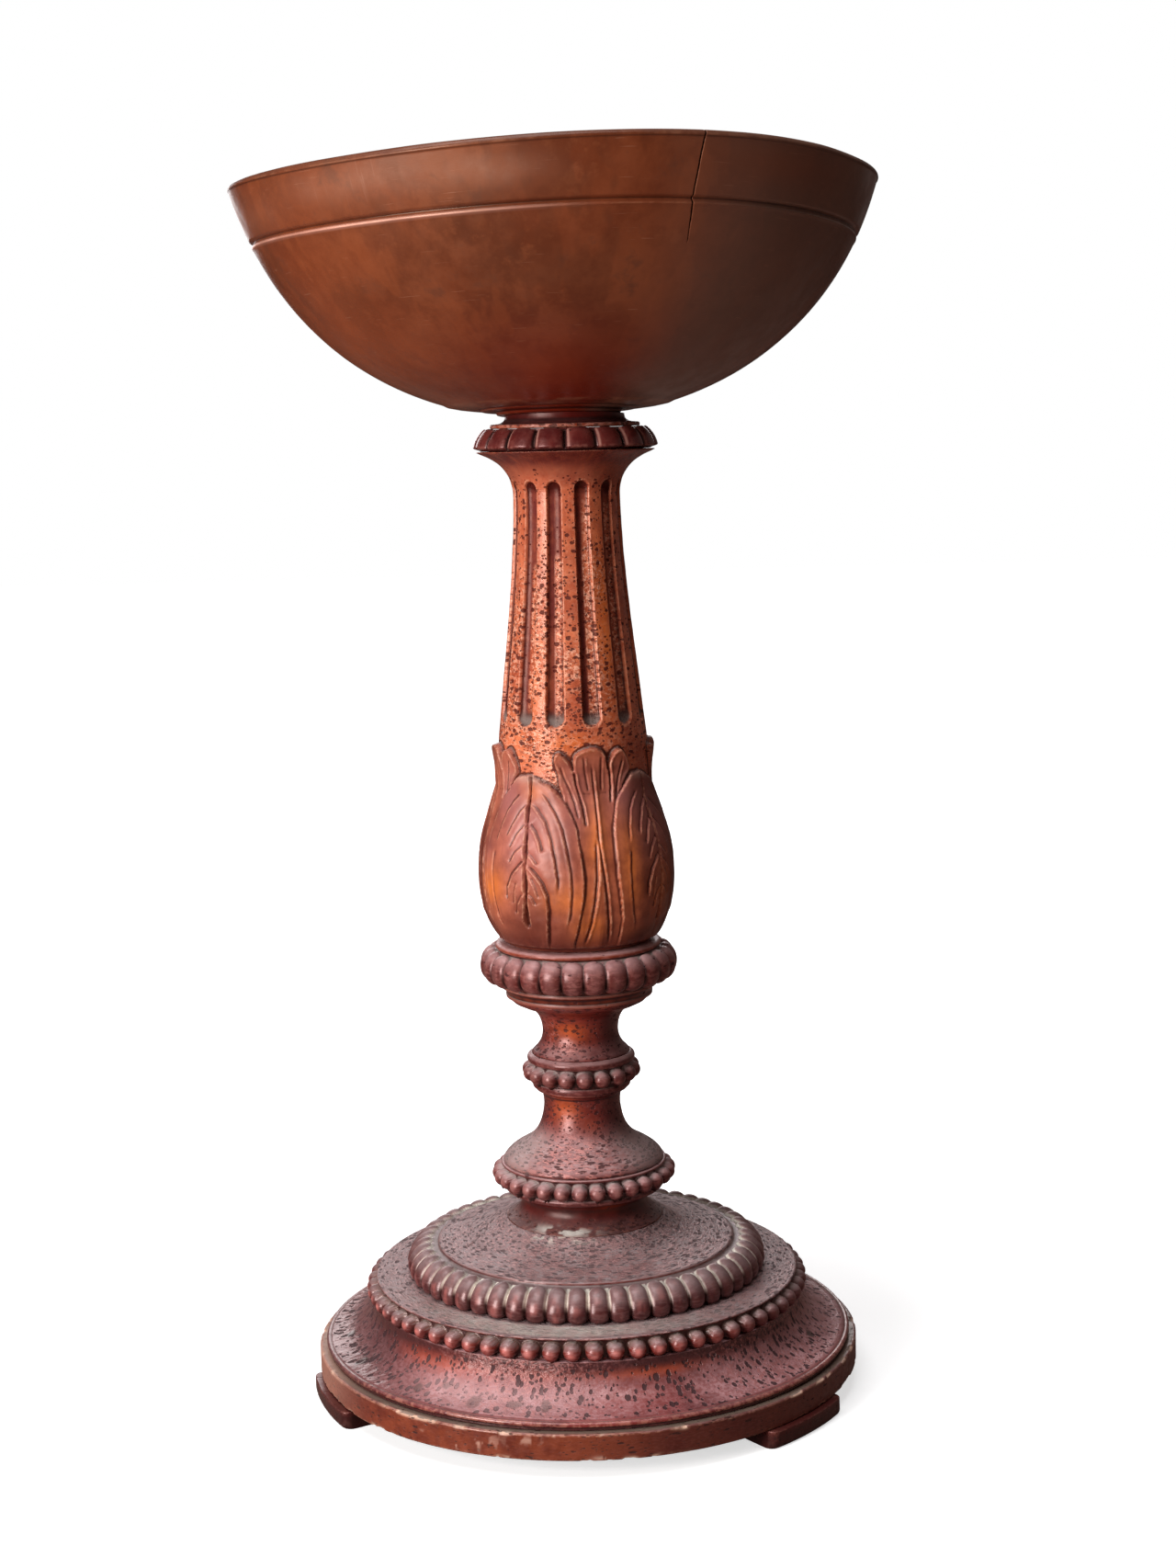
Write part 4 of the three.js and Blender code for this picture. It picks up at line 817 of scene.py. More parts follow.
# A crack runs out over the top at the left rear.
crack_from, crack_to = np.array([-101.0, -40.0]), np.array([-60.0, 36.0])
crack_length = np.linalg.norm(crack_to - crack_from)
crack_way = (crack_to - crack_from) / crack_length
beside_x, beside_y = np.moveaxis(upper.lifted()[..., :2] - crack_from, 2, 0)
crack_run = beside_x * crack_way[0] + beside_y * crack_way[1]
crack_off = beside_x * crack_way[1] - beside_y * crack_way[0]
cracked = bell(crack_off, 0.8) * step(-2, 6, crack_run) * (z > 119.5)
upper.lift -= 0.8 * cracked * step(crack_length + 2, crack_length - 14, crack_run)
disc_share = step(126, 123, r)
torn = step(0.12, 0.3, upper.wander(7, 43, 3))
flaked = upper.patches((-22, 137, 22, 3, 0.6)) * torn * (r < 84)
outlines = np.maximum(upper.edges, 0.8 * step(0.6, 0.9, upper.sides))
outlines = outlines * step(103, 109, z) * (r > 129)
outlines *= 0.55 + 0.45 * step(-0.6, 0.2, upper.wander(30, 44))
# Strength of the painted highlights on the crowns of the lobes.
glitter = (0.1 + 0.6 * upper.wander(5, 45)).clip(0, 0.35)
skin(
    "upper_disc", "gadrooned", "base", TOPS, upper.lifted(upper.lift - SHRINKAGE), 110,
    pitted=disc_share,
    bloomed=0.36 + 0.64 * disc_share,
    tinted=np.maximum(1 - disc_share, upper.patches((-52, 137, 34, 4, 0.7))),
    ashy=np.maximum(flaked, outlines),
    # Painted shade on the lobes' sides, and painted highlights on their crowns.
    hollow=upper.sides * (0.5 + 0.5 * step(113, 105, z)),
    veiled=upper.crowns * glitter,
    warmed=upper.patches((20, 122, 40, 4, 0.5), (10, 134, 14, 6, 0.6)),
)

# ---------------------------------------------------------------- stem
neck_rows = profile(
    (40, NECK_BOTTOM), (66, NECK_BOTTOM),
    [(62.8, 140.4), (58.6, 143.2), (55, 146.8), (52.4, 151.2), (51.9, 155.4), (53.4, 159.6)],
    (54.6, 160.4), (54.8, NECK_TOP), (30, NECK_TOP),
)
neck = Turned(neck_rows, around(360))
neck_up = step(143, 152, neck.z)
neck_torn = step(-0.12, 0.1, neck.wander(7, 52, 3))
skin(
    "neck", "turned", "stem", RED, neck.lifted(0.12 * neck.wander(20, 51)),
    pitted=0.8 - 0.75 * neck_up,
    bloomed=0.65 - 0.63 * neck_up,
    tinted=0.6 * step(-22, -50, neck.at) * (1 - neck_up),
    warmed=neck.patches((28, 158, 16, 4, 0.6)),
    ashy=neck.patches((-17, 141.2, 20, 2.4, 1.5)) * neck_torn,
)

beaded_rows = profile(
    (40, BEADED_BOTTOM), (65.6, BEADED_BOTTOM),
    [(66.8, 164.4), (67.6, 166.4), (66.8, 168.4), (66, 169)],
    *wall_of_beads(66.6, 169.2, 183.9, 176.6, 6.9), (67, 184.6), (69.4, 185), (69.8, 186.2),
    (69, BEADED_TOP), (40, BEADED_TOP), spacing=0.8,
)
beaded = bead_ring(
    beaded_rows, beads=30, phase=8.8, share=0.93, each=15, gap=3, middle=176.6, radius=6.9,
    stand=4.0, seed=61,
)
skin(
    "beaded_disc", "beaded", "stem", PLUM, beaded.lifted(beaded.lift - SHRINKAGE),
    pitted=0.05,
    bloomed=0.42,
    tinted=0.85,
    ashy=0.6 * beaded.edges,
    # Painted shade under the beads, and painted highlights on their crowns.
    hollow=0.9 * beaded.gaps,
    veiled=0.4 * beaded.crowns,
)

vase_rows = profile(
    (40, VASE_BOTTOM), (67, VASE_BOTTOM), (67.6, 188.4),
    [(67, 190), (63.6, 194.2), (58, 198.4), (50.4, 202.8), (43.6, 207.6), (38.6, 213.4),
     (35.2, 220.4), (33, 229), (32.2, 238), (33, 244.6)],
    (35.4, 247.4), (38.4, 248.8), (38.8, VASE_TOP), (20, VASE_TOP), spacing=0.8,
)
vase = Turned(vase_rows, around(420))
vase_low = step(226, 205, vase.z)
# Painted sheen on the front of the flare.
vase_glow = vase.patches((-14, 204, 46, 20, 1.0))
skin(
    "lower_waist", "turned", "stem", PLUM, vase.lifted(0.15 * vase.wander(12, 71, 3)),
    pitted=0.6 + 0.4 * vase_low,
    bloomed=np.clip(0.25 + vase_low * vase_glow, 0, 1),
    warmed=vase.patches((-27, 236, 20, 12, 0.9), (12, 222, 14, 8, 0.2)),
    # Tinted, and darker to the right and at the far left with painted shade.
    tinted=0.25 + 0.6 * step(6, 50, vase.at) + 0.4 * step(-52, -84, vase.at),
    ashy=0.5 * vase_low * (step(-26, -62, vase.at) + step(22, 62, vase.at)),
)

knop_rows = profile(
    (20, KNOP_BOTTOM), (39.6, KNOP_BOTTOM),
    [(40.8, 251), (41.4, 253.2), (41, 255.4), (40.4, 256.4)],
    *wall_of_beads(41.4, 256.8, 271.6, 264.2, 7.2), (41.8, 272.2),
    [(44.4, 273), (45.4, 275), (44.9, 277.6), (43, 279.2)], (41.8, KNOP_TOP), (20, KNOP_TOP),
    spacing=0.8,
)
knop = bead_ring(
    knop_rows, beads=18, phase=3.5, share=0.95, each=17, gap=2, middle=264.2, radius=7.0, stand=1.7,
    seed=81,
)
skin(
    "bead_collar", "beaded", "stem", PLUM, knop.lifted(knop.lift - SHRINKAGE),
    pitted=0.05,
    bloomed=0.4,
    tinted=0.75,
    ashy=0.45 * knop.edges,
    # Painted shade under the beads, and painted highlights on their crowns.
    hollow=0.9 * knop.gaps,
    veiled=0.2 * knop.crowns,
)

spool_rows = profile(
    (20, SPOOL_BOTTOM), (41.2, SPOOL_BOTTOM),
    [(40.6, 281.2), (36.6, 285.4), (33.4, 290.6), (31.9, 296.4), (32, 302.6), (33.4, 308.6),
     (36.6, 314.6), (41.6, 318.8), (49, 321.8)],
    (55.6, 325), (58.8, 328), (58.8, SPOOL_TOP), (20, SPOOL_TOP), spacing=0.8,
)
spool = Turned(spool_rows, around(360))
# Painted sheen at the front.
spool_glow = spool.patches((-18, 288, 26, 6, 0.8), (-48, 302, 16, 14, 0.45))
skin(
    "upper_waist", "turned", "stem", PLUM, spool.lifted(0.12 * spool.wander(12, 91, 3)),
    pitted=0.75,
    bloomed=np.clip(0.15 + spool_glow, 0, 1),
    warmed=spool.patches((-18, 302, 26, 9, 0.95)),
    # Painted shade: darker to the right and at the far left.
    tinted=0.8 * step(8, 50, spool.at) + 0.5 * step(-52, -84, spool.at),
)

collar_rows = profile(
    (20, COLLAR_BOTTOM), (60.2, COLLAR_BOTTOM), (61.4, 329.6), (61.6, 331.6), (60.9, 332.2),
    [(61.2, 334), (62.4, 336.6), (64.8, 338.2)], (66.2, 338.5), (66.4, 340.3), (65.6, 340.9),
    [(66.6, 343.6), (68.4, 345.4), (70, 346.2)],
    [(74.4, 347.8), (77.4, 351.2), (78.4, 355.6), (78, 360), (75.8, 364.2), (72.2, 367.6),
     (69, 369.4)],
    (67.8, 369.6), (67.6, 370.6), [(69, 371.6), (69.4, 373.2), (68.4, 374.8), (66.4, 375.7)],
    (64, COLLAR_TOP), (20, COLLAR_TOP), spacing=0.75,
)
collar = lobe_ring(
    collar_rows, lobes=27, phase=-3.7, crowd=(0.96, 19, 2), first=(70.0, 346.2), last=(69.0, 369.4),
    height=4.2, power=2.2, start=5.0, end=8.5, seed=101,
)
z = collar.z
under_lobes = z < 346
collar_upper = step(352, 360, z)
fillets = np.maximum(*[bell(z - height, 0.6) for height in (330.9, 339.6)])
skin(
    "gadroon_collar", "carved", "stem", PLUM, collar.lifted(collar.lift - SHRINKAGE),
    pitted=0.05,
    bloomed=np.where(under_lobes, 0.05, 0.45),
    tinted=np.where(under_lobes, 0.35, 0.75),
    ashy=np.where(under_lobes, 0.4 * fillets, 0.35 * collar.edges * collar_upper),
    warmed=0.3 * under_lobes + 0.35 * step(370.4, 371.4, z),
    # Painted shade on the lobes' sides, and painted highlights on their crowns.
    hollow=collar.sides * (0.95 - 0.45 * collar_upper),
    veiled=0.12 * collar.crowns,
)


# ---------------------------------------------------------------- column
# The bulb's outline over the leaves, and the tapering shaft: height and radius
LEAF_TOP = [
    (376, 64), (380, 67.1), (386, 70.9), (392, 73.8), (398, 76), (404, 78.3), (410, 79.3),
    (416, 80.4), (422, 81.1), (434, 81.5), (446, 81), (458, 79.6), (470, 77.1), (482, 73.5),
    (494, 69.9), (506, 66.6), (518, 64.6), (530, 63.4), (548, 62.4),
]
SHAFT = [
    (506, 62.6), (518, 62.4), (530, 62), (548, 61), (560, 59.6), (584, 57), (608, 54.3),
    (632, 51.6), (656, 49.1), (680, 46.9), (704, 45.1), (728, 43.9), (740, 43.6),
]
SHAFT_FROM = 506  # height above which the shaft is seen between the leaves
LEAF_HEIGHT = 3.8
CUT = 1.15
SLIT_AT, TALL_AT, PAIRS = -31.0, 15.6, 4
LEAF_SCALE = np.array([math.radians(1) * 72.0, 1])  # degrees and mm to mm on the bulb

# Outline of the low leaf: degrees from its slit, and height
LOW_LEAF = [
    (29.8, 380), (29.8, 386), (31.9, 396.5), (34.4, 411.6), (36, 424.6), (36.7, 437.3),
    (36.2, 449.9), (35.3, 460.8), (34.1, 470), (33, 479.9), (30.2, 489.3), (26, 499), (21.6, 505.6),
    (18.4, 510), (15, 513.4), (11.6, 515.8), (7.6, 517), (4, 519.4), (0.6, 520.6), (-2.6, 522.4),
    (-7.4, 521.2), (-11.4, 521.6), (-14.4, 520), (-18.2, 515.2), (-21.4, 510.5), (-25.8, 504.8),
    (-28.8, 499.6), (-31.7, 489.4), (-33.6, 479.7), (-34.4, 470.9), (-34.6, 455), (-34, 439),
    (-32.6, 422.9), (-31, 405.1), (-30.8, 389.7), (-30.8, 380),
]
# Outline of the tall leaf, from its middle
TALL_LEAF = [
    (22, 380), (22, 440), (21.5, 500), (22.4, 512), (26, 518), (29.4, 522.6), (29.8, 527),
    (27, 534), (23.6, 539.6), (21, 542.2), (17.6, 541.6), (14.4, 539), (12.4, 535.2), (11, 530.6),
    (10.4, 526), (9.6, 531.6), (8.6, 537.4), (6, 541.8), (2, 543.8), (-2.4, 544.2), (-7.4, 543),
    (-11.6, 541), (-14.6, 538.2), (-15.4, 533.6), (-15.4, 526.4), (-16.4, 529.6), (-18.4, 533.8),
    (-21.6, 537.6), (-25.6, 540.6), (-28.8, 539.4), (-29.8, 534.4), (-28.4, 528), (-26.6, 522),
    (-26.2, 514), (-24, 505), (-23, 480), (-23, 440), (-23, 380),
]
SLIT = [
    (0.4, 398), (-0.6, 404), (-0.2, 412), (0.4, 425), (0.8, 436.6), (0.1, 447.6), (0.5, 457),
    (0, 467.8), (-0.2, 478.5), (-1.5, 484.5), (-1.7, 498.3), (-0.9, 506), (-0.9, 519),
]
# Leaflet edges: each starts at the slit, with how deep it is cut
LEAFLETS = [
    ([(-0.5, 500.6), (-2.8, 499.2), (-8.1, 492.4), (-12.8, 481.3), (-15.6, 470.9)], 1.3),
    ([(1.2, 499), (6, 494), (11.6, 486), (16.4, 472), (19.4, 456), (20.8, 440), (20.6, 428)], 1.5),
    ([(-0.7, 484.6), (-3.6, 481.8), (-7.9, 474), (-11.6, 462.4)], 1.6),
    ([(0.9, 483.2), (5.4, 477.7), (9.2, 470), (11.4, 461)], 1.7),
    ([(-0.3, 468.4), (-2.6, 466.1), (-7.4, 460), (-11, 450.6)], 1.3),
    ([(1.2, 461), (5, 457), (8.4, 451)], 1.2),
    ([(-0.2, 454.6), (-3.4, 450.6), (-8.6, 442.6), (-12, 432), (-12.6, 420)], 2.2),
    ([(1.9, 450.9), (7, 444.3), (11.4, 436.6), (14.2, 426.7), (14.8, 414.3), (13.8, 402.4),
     (12.4, 388.3), (11.6, 379)], 2.6),
    ([(-0.4, 427.9), (-2.8, 425.2), (-5.6, 418.8), (-6.9, 409.3)], 1.1),
    ([(1.5, 427.4), (4.6, 424.4), (6.6, 418.3)], 1.2),
    ([(7.5, 509), (12.6, 502.4), (18.4, 492.4), (23.3, 479.4), (26.5, 463.2), (28.4, 446.9),
     (28.8, 430.8), (27.4, 412), (24.6, 396)], 1.2),
    ([(-9.3, 506.4), (-14.8, 500), (-19.1, 492.2), (-22.3, 480.9), (-24.2, 466.2)], 1.1),
    ([(-24.4, 462), (-25.6, 446), (-25.2, 428), (-23.4, 410), (-20, 394)], 0.8),
    ([(-5.4, 436.9), (-7.4, 428.4), (-8.2, 417.4)], 0.7),
    ([(3.8, 441), (6.8, 434), (8.8, 424)], 0.8),
]
# Ribs and hollows of the tall leaf, with the depth of the cut beside them
TALL_RIBS = [
    ([(-2.6, 534), (-1.7, 523), (-0.6, 505.8), (-0.4, 490.5), (-0.6, 472.3), (0.6, 453.7),
     (2, 436.3), (3.2, 420.1), (4.4, 401.8), (6.4, 381)], 1.2),
    ([(-2, 474), (-2.4, 455), (-2.8, 438.9), (-4.2, 421.4), (-6.6, 402.6), (-10.8, 383)], 1.3),
    ([(-15, 527), (-13.8, 514.2), (-11.8, 505.4), (-9.4, 495.6), (-8, 480)], 1.6),
    ([(10.6, 530), (12, 520.2), (12.2, 510.9), (11, 498)], 1.6),
    ([(-25, 531), (-22.6, 521), (-19, 511), (-15.4, 500), (-12.6, 486)], 0.9),
    ([(22, 534), (20, 524), (17.6, 514), (15.6, 502)], 0.8),
    ([(4.6, 538), (4.8, 524), (4.6, 508)], 0.6),
    ([(-8.2, 538), (-7, 524), (-5, 508)], 0.6),
]
FLUTE_AT = [-41.2, -13.4, 16.4, 47.6, 76.8, 106.2, 136.6, 166.4, 196.2, 226.8, 256.4, 287.0]
FLUTE_BOTTOM, FLUTE_TOP = 560.4, 756.4


def outside(heights, table):
    smooth = curve(table)
    return np.interp(heights, smooth[:, 0], smooth[:, 1])


def edge_distance(x, y, points):
    """Distance to a line, which side of it (+ on its left), and how far along it, from 0 to 1."""
    length = np.concatenate([[0], np.cumsum(np.linalg.norm(np.diff(points, axis=0), axis=1))])
    best = np.full(x.shape, 1e9)
    side, along = np.zeros(x.shape), np.zeros(x.shape)
    for i in range(len(points) - 1):
        (ax, ay), (bx, by) = points[i], points[i + 1]
        dx, dy = bx - ax, by - ay
        t = np.clip(((x - ax) * dx + (y - ay) * dy) / max(dx * dx + dy * dy, 1e-9), 0, 1)
        away = np.hypot(x - ax - t * dx, y - ay - t * dy)
        nearer = away < best
        best = np.where(nearer, away, best)
        side = np.where(nearer, np.sign(dx * (y - ay) - dy * (x - ax)), side)
        along = np.where(nearer, (length[i] + t * (length[i + 1] - length[i])) / length[-1], along)
    return best, side, along


def within(x, y, outline):
    """Signed distance to a closed outline, positive inside."""
    inside = np.zeros(x.shape, bool)
    for (ax, ay), (bx, by) in zip(outline, np.roll(outline, -1, 0)):
        crosses = (ay > y) != (by > y)
        with np.errstate(divide="ignore", invalid="ignore"):
            at = (bx - ax) * (y - ay) / (by - ay) + ax
        inside ^= crosses & (x < at)
    away, _, _ = edge_distance(x, y, np.vstack([outline, outline[:1]]))
    return np.where(inside, away, -away)


def tall_relief(x, z, off_middle, inner):
    """Height of the tall leaf over its ground: ribs, hollows, and a tip that curls outward."""
    relief = 1.9 * step(-0.3, 1.1, inner) + 0.5 * bell(inner - 2.2, 1.4)
    for line, depth in TALL_RIBS:
        away, side, along = edge_distance(x, z, line * LEAF_SCALE)
        fade = step(0, 0.12, along) * step(1.0, 0.9, along) * (inner > 0)
        cut = bell(away, 0.95) * CUT
        ridge = bell(away - 2.1, 1.2) * np.where(side > 0, 0.5, 0.2)
        relief = relief - (cut - ridge) * depth * fade
    scoop = 0.9 * np.clip(1 - ((off_middle - 6.5) / 5.5) ** 2, 0, 1) * step(532, 510, z)
    curl = step(512, 543, z) ** 1.6 * 3.6 * step(-0.4, 1.6, inner)
    return relief - scoop * (inner > 1) + curl


def low_relief(x, z, off_slit, inner, pair):
    """Height of the low leaf over its ground: pillowed halves, leaflets and a deep slit."""
    relief = LEAF_HEIGHT * step(-0.3, 1.3, inner)
    pillow = 0.9 * np.clip(1 - ((off_slit - 17) / 17) ** 2, 0, 1) - 0.5
    relief = relief + pillow * step(0, 5, inner)
    for line, depth in LEAFLETS:
        away, side, along = edge_distance(x, z, line * LEAF_SCALE)
        outward = np.where(side * (line[-1][0] - line[0][0]) > 0, away, -away)
        fade = step(-0.02, 0.08, along) * step(1.02, 0.86, along) * (inner > 0)
        cut = np.where(outward > -0.5, np.exp(-np.maximum(outward + 0.1, 0) / 2.5), 0)
        cut = cut * CUT * step(-0.9, 0.5, outward)
        lip = 0.3 * np.exp(-((outward + 1.2) ** 2))
        relief = relief - (cut - lip) * depth * fade
    away, _, along = edge_distance(x, z, SLIT * LEAF_SCALE)
    wide = 1.0 + 0.5 * np.sin(along * 26 + 1.3 * pair) + 0.7 * step(0.25, 0.1, along)
    slit = step(wide + 0.9, wide * 0.35, away) * step(0.0, 0.03, along)
    curl = 1.2 * step(498, 520, z) * step(0, 2, inner)
    return relief - 4.6 * slit * step(0, 1.5, inner) + curl


def leaf_relief(heights, directions):
    """Radius of the bulb with its four pairs of leaves, and a mask of the leaves."""
    top = outside(heights, LEAF_TOP)[:, None]
    shaft = outside(np.maximum(heights, SHAFT_FROM), SHAFT)[:, None]
    z = heights[:, None] + 0 * directions
    ground = np.where(z < SHAFT_FROM, top - LEAF_HEIGHT, shaft)
    radius = np.minimum(ground, top - LEAF_HEIGHT * step(524, 500, z))
    leaf = np.zeros(z.shape)
    for pair in range(PAIRS):
        jitter = 0.35 * fbm(np.stack([0 * z + 50 * pair, 0 * z, z], 2), 22, 200 + pair, 2)
        by = bearing(directions, TALL_AT + 90.0 * pair) + jitter
        near = np.abs(by) < 34
        x = np.where(near, by, 99) * LEAF_SCALE[0]
        inner = within(x, z, TALL_LEAF * LEAF_SCALE)
        foot = np.where(z > SHAFT_FROM, np.maximum(shaft, top - LEAF_HEIGHT), top - LEAF_HEIGHT)
        tall = np.maximum(radius, foot + tall_relief(x, z, np.abs(by), inner))
        radius = np.where(near & (inner > -0.4), tall, radius)
        leaf = np.maximum(leaf, near * step(-0.2, 0.6, inner))

        by = bearing(directions, SLIT_AT + 90.0 * pair) + jitter
        near = np.abs(by) < 44
        x = np.where(near, by, 99) * LEAF_SCALE[0]
        ragged = 0.7 * fbm(np.stack([x, z, 0 * z + 9 * pair], 2), 3.4, 300, 2) * step(500, 512, z)
        inner = within(x, z, LOW_LEAF * LEAF_SCALE) + ragged
        low = top - LEAF_HEIGHT + low_relief(x, z, np.abs(by), inner, pair)
        low = np.where(inner > 0.2, low, np.maximum(radius, low))
        radius = np.where(near & (inner > -0.4), low, radius)
        leaf = np.maximum(leaf, near * step(-0.2, 0.6, inner))
    return radius, leaf


def flute_depth(heights, directions, radius):
    """Cut of the flutes, round in section and round-ended, with their floors and sides."""
    depth, floor, across = (np.zeros(radius.shape) for _ in range(3))
    rng = np.random.default_rng(17)
    for at in FLUTE_AT:
        half = 7.9 + 0.5 * (rng.random() - 0.5)
        low, high = FLUTE_BOTTOM + rng.random() - 0.5, FLUTE_TOP + rng.random() - 0.5
        away = bearing(directions, at) / half
        width = np.radians(half) * radius
        ends = np.maximum(low + width - heights, heights - high + width) / width
        q = away**2 + np.clip(ends, 0, 2) ** 2
        depth = np.maximum(depth, np.maximum(0, 1 - q) ** 0.425 * 0.66 * width)
        floor = np.maximum(floor, step(0.0, 0.35, 1 - q))
        across = np.where(q < 1, away, across)
    return depth, floor, across


leaf_heights = np.concatenate([np.arange(377.2, 548, 0.8), np.arange(548, 557, 1.0)])
shaft_heights = np.arange(557, 742.5, 1.35)
flare_rows = profile(
    (43.6, 742.5),
    [(43.7, 748), (44.6, 753), (46.3, 758.5), (49.4, 764), (54.6, 769.8), (62.4, 775),
     (70.4, 778.6), (72.9, 779.8)],
    (72.4, COLUMN_TOP), (30, COLUMN_TOP), spacing=0.9,
)
column_turns = around(640, 0.2)
plain_radii = ([30.0, 45.0, 55.0, 60.0], outside(shaft_heights, SHAFT), flare_rows[:, 0])
foot, shaft, flare = (np.array(radii)[:, None] + 0 * column_turns for radii in plain_radii)
leaf_radius, leaf_share = leaf_relief(leaf_heights, column_turns)
column_radius = np.vstack([foot, leaf_radius, shaft, flare])
leaf_mask = np.vstack([0 * foot, leaf_share, 0 * shaft, 0 * flare])
z = [np.full(len(foot), COLUMN_BOTTOM), leaf_heights, shaft_heights, flare_rows[:, 1]]
z = np.concatenate(z)[:, None]
depth, fluted, flute_side = flute_depth(z, column_turns, np.minimum(column_radius, 62))
on_shaft = (z > 550) & (z < 762)
column_radius = column_radius - depth * on_shaft
rough_wood = 0.22 * fbm(swept(column_radius, z, column_turns), 9, 111, 3)
column_radius += rough_wood * ((z > 378) & (z < 776))
column = Turned(np.hstack([column_radius[:, :1], z]), column_turns)

facing_right = step(22, 48, column.at)
floors = fluted * on_shaft
# Bands run down the sunlit side of the flutes: partly wear, partly painted light, with less of the
# floors' darker tone and more painted glints.
worn = step(0.1, 0.3, column.wander(55, 113) + 0.62)
strips = np.maximum(step(-0.3, 0.1, flute_side) * worn, step(0.35, 0.6, flute_side) * facing_right)
strips = strips * floors * step(752, 728, z)
# Painted shade in the flute floors: less painted sheen and fewer pits there, except on the sunlit
# bands.
sheltered = 1 - 0.85 * floors * (1 - strips)
bare = (1 - leaf_mask) * step(768, 752, z) * (z > 500)
pitted = bare * (0.75 + 0.25 * step(610, 560, z)) * (1 - 0.5 * facing_right)
pitted = pitted * (1 - 0.45 * step(690, 742, z))
patchy = step(-0.5, 0.35, column.wander(34, 114))
# Painted glints and sheen, less on the right side, away from the light.
bloomed = bare * (1 - 0.6 * facing_right) * (0.3 + 0.7 * patchy * step(745, 690, z)) + 0.04
column_warm = column.patches(
    (-60, 432, 13, 16, 0.95), (14, 470, 7, 34, 0.7), (-4, 424, 16, 12, 0.55), (8, 400, 10, 12, 0.6),
    (34, 450, 8, 44, 0.6), (60, 430, 12, 30, 0.4), (-30, 508, 9, 8, 0.5), (-10, 548, 24, 8, 0.7),
    (34, 640, 9, 70, 0.8), (-28, 590, 8, 40, 0.5),
)
shadows = column.patches(
    (-88, 440, 18, 70, 0.85), (-20, 379, 400, 18, 0.95), (82, 440, 24, 70, 0.85),
    (-32, 402, 14, 14, 0.45), (-20, 422, 9, 20, 0.55),
)
mottled = 0.35 * step(-0.1, 0.5, column.wander(42, 115, 3)) * (z < 520)
flare_dark = 0.6 * step(738, 762, z) + 0.4 * step(764, 774, z)
flare_dark = flare_dark - column.patches((-34, 754, 22, 8, 0.5), (14, 750, 16, 6, 0.35))
tips = [(SLIT_AT + 90 * pair, 519.0, 17, 3.5, 0.45) for pair in range(PAIRS)]
# Painted sheen on the leaves.
veils = [
    (-32, 474, 16, 34, 0.55), (-52, 506, 12, 20, 0.5), (-64, 450, 8, 20, 0.3),
    (2, 500, 14, 26, 0.35), (34, 500, 12, 20, 0.2),
]
veils += [
    (at + by, height, wide, tall, 0.7 * strength)
    for by in (90, 180, 270)
    for at, height, wide, tall, strength in veils[:2]
]
skin(
    "column", "carved", "column", ORANGE, swept(column_radius, z, column_turns), 55,
    second=(LEAF, np.where(z < SHAFT_FROM, 1.0, leaf_mask)),
    pitted=pitted * sheltered,
    bloomed=np.maximum(bloomed * sheltered, strips),
    tinted=np.clip(floors * (1 - 0.9 * strips) + shadows + mottled + flare_dark, 0, 1),
    warmed=column_warm,
    ashy=0.7 * floors * step(574, 563, z) + leaf_mask * column.patches(*tips),
    veiled=leaf_mask * column.patches(*veils),
)

# ---------------------------------------------------------------- capital, neck cap and bowl
capital_rows = profile(
    (50, CAPITAL_BOTTOM), (69, CAPITAL_BOTTOM), (70.2, 781.4),
    [(69.8, 783.4), (68.4, 787.4), (65.2, 792.2), (61.4, 795.6)], (61, 796.6), (60.6, CAPITAL_TOP),
    (50, CAPITAL_TOP), spacing=0.6,
)
capital = lobe_ring(
    capital_rows, lobes=18, phase=10.0, crowd=(0.93, 25, 3), first=(70.2, 781.4),
    last=(61.0, 796.6), height=5.4, power=2.4, start=1.6, end=3.6, seed=121,
)
z = capital.z
from_lobe = capital.directions % 20 - 10
# Painted shade in the gaps between the lobes, and a painted highlight on each lobe beside a gap,
# fading towards the sides.
gaps = step(8.3, 9.0, np.abs(from_lobe)) * (z < 796.8)
right_of_gap = bell(from_lobe + 7.7, 0.6) * step(782, 784, z) * step(797, 795, z)
skin(
    "capital_ring", "carved", "capital", DARK, capital.lifted(capital.lift - SHRINKAGE),
    pitted=0.1,
    bloomed=0.05,
    tinted=np.maximum(gaps, 0.8 * step(782.6, 781.6, z)),
    ashy=0.8 * right_of_gap * step(72, 56, np.abs(capital.at)),
)

BOWL_HEIGHT, RIM, WALL, BOWL_FLOOR, GROOVE = 181.0, 258.6, 13.0, 19.0, 135.0
FULLNESS, POLE_DEPTH, POWER = 1.623, 0.015, 2.25
LEAN, FORWARD, LEFT, OVAL = math.radians(2.6), 4.0, 4.5, 1.0056

cap_rows = profile(
    (30, CAP_BOTTOM), (60, CAP_BOTTOM), (60.9, 799.2), (60.9, 801.2), (60, 802), (57.4, 802.2),
    [(52.4, 803), (49.4, 805.2), (48.5, 808.2), (48.7, 812.2)], (30, 812.2), spacing=0.5,
)
cap = Turned(cap_rows, around(360))
cap_points = cap.lifted(0.1 * cap.wander(9, 131))
seat = BOWL_BOTTOM - 0.35 - (cap_points[..., 1] + FORWARD) * math.tan(LEAN)
cap_points[..., 2] = np.minimum(cap_points[..., 2], seat)
fillet = step(802.2, 801.8, cap.z)
skin(
    "neck_cap", "turned", "capital", RED, cap_points,
    pitted=0.8 * fillet,
    bloomed=fillet,
    warmed=fillet,
)


def bowl_reach(share):
    """Radius of the bowl at a share of its height, as a share of its widest."""
    away = np.abs(FULLNESS - share) / (FULLNESS + POLE_DEPTH)
    return (1 - away**POWER) ** (1 / POWER)


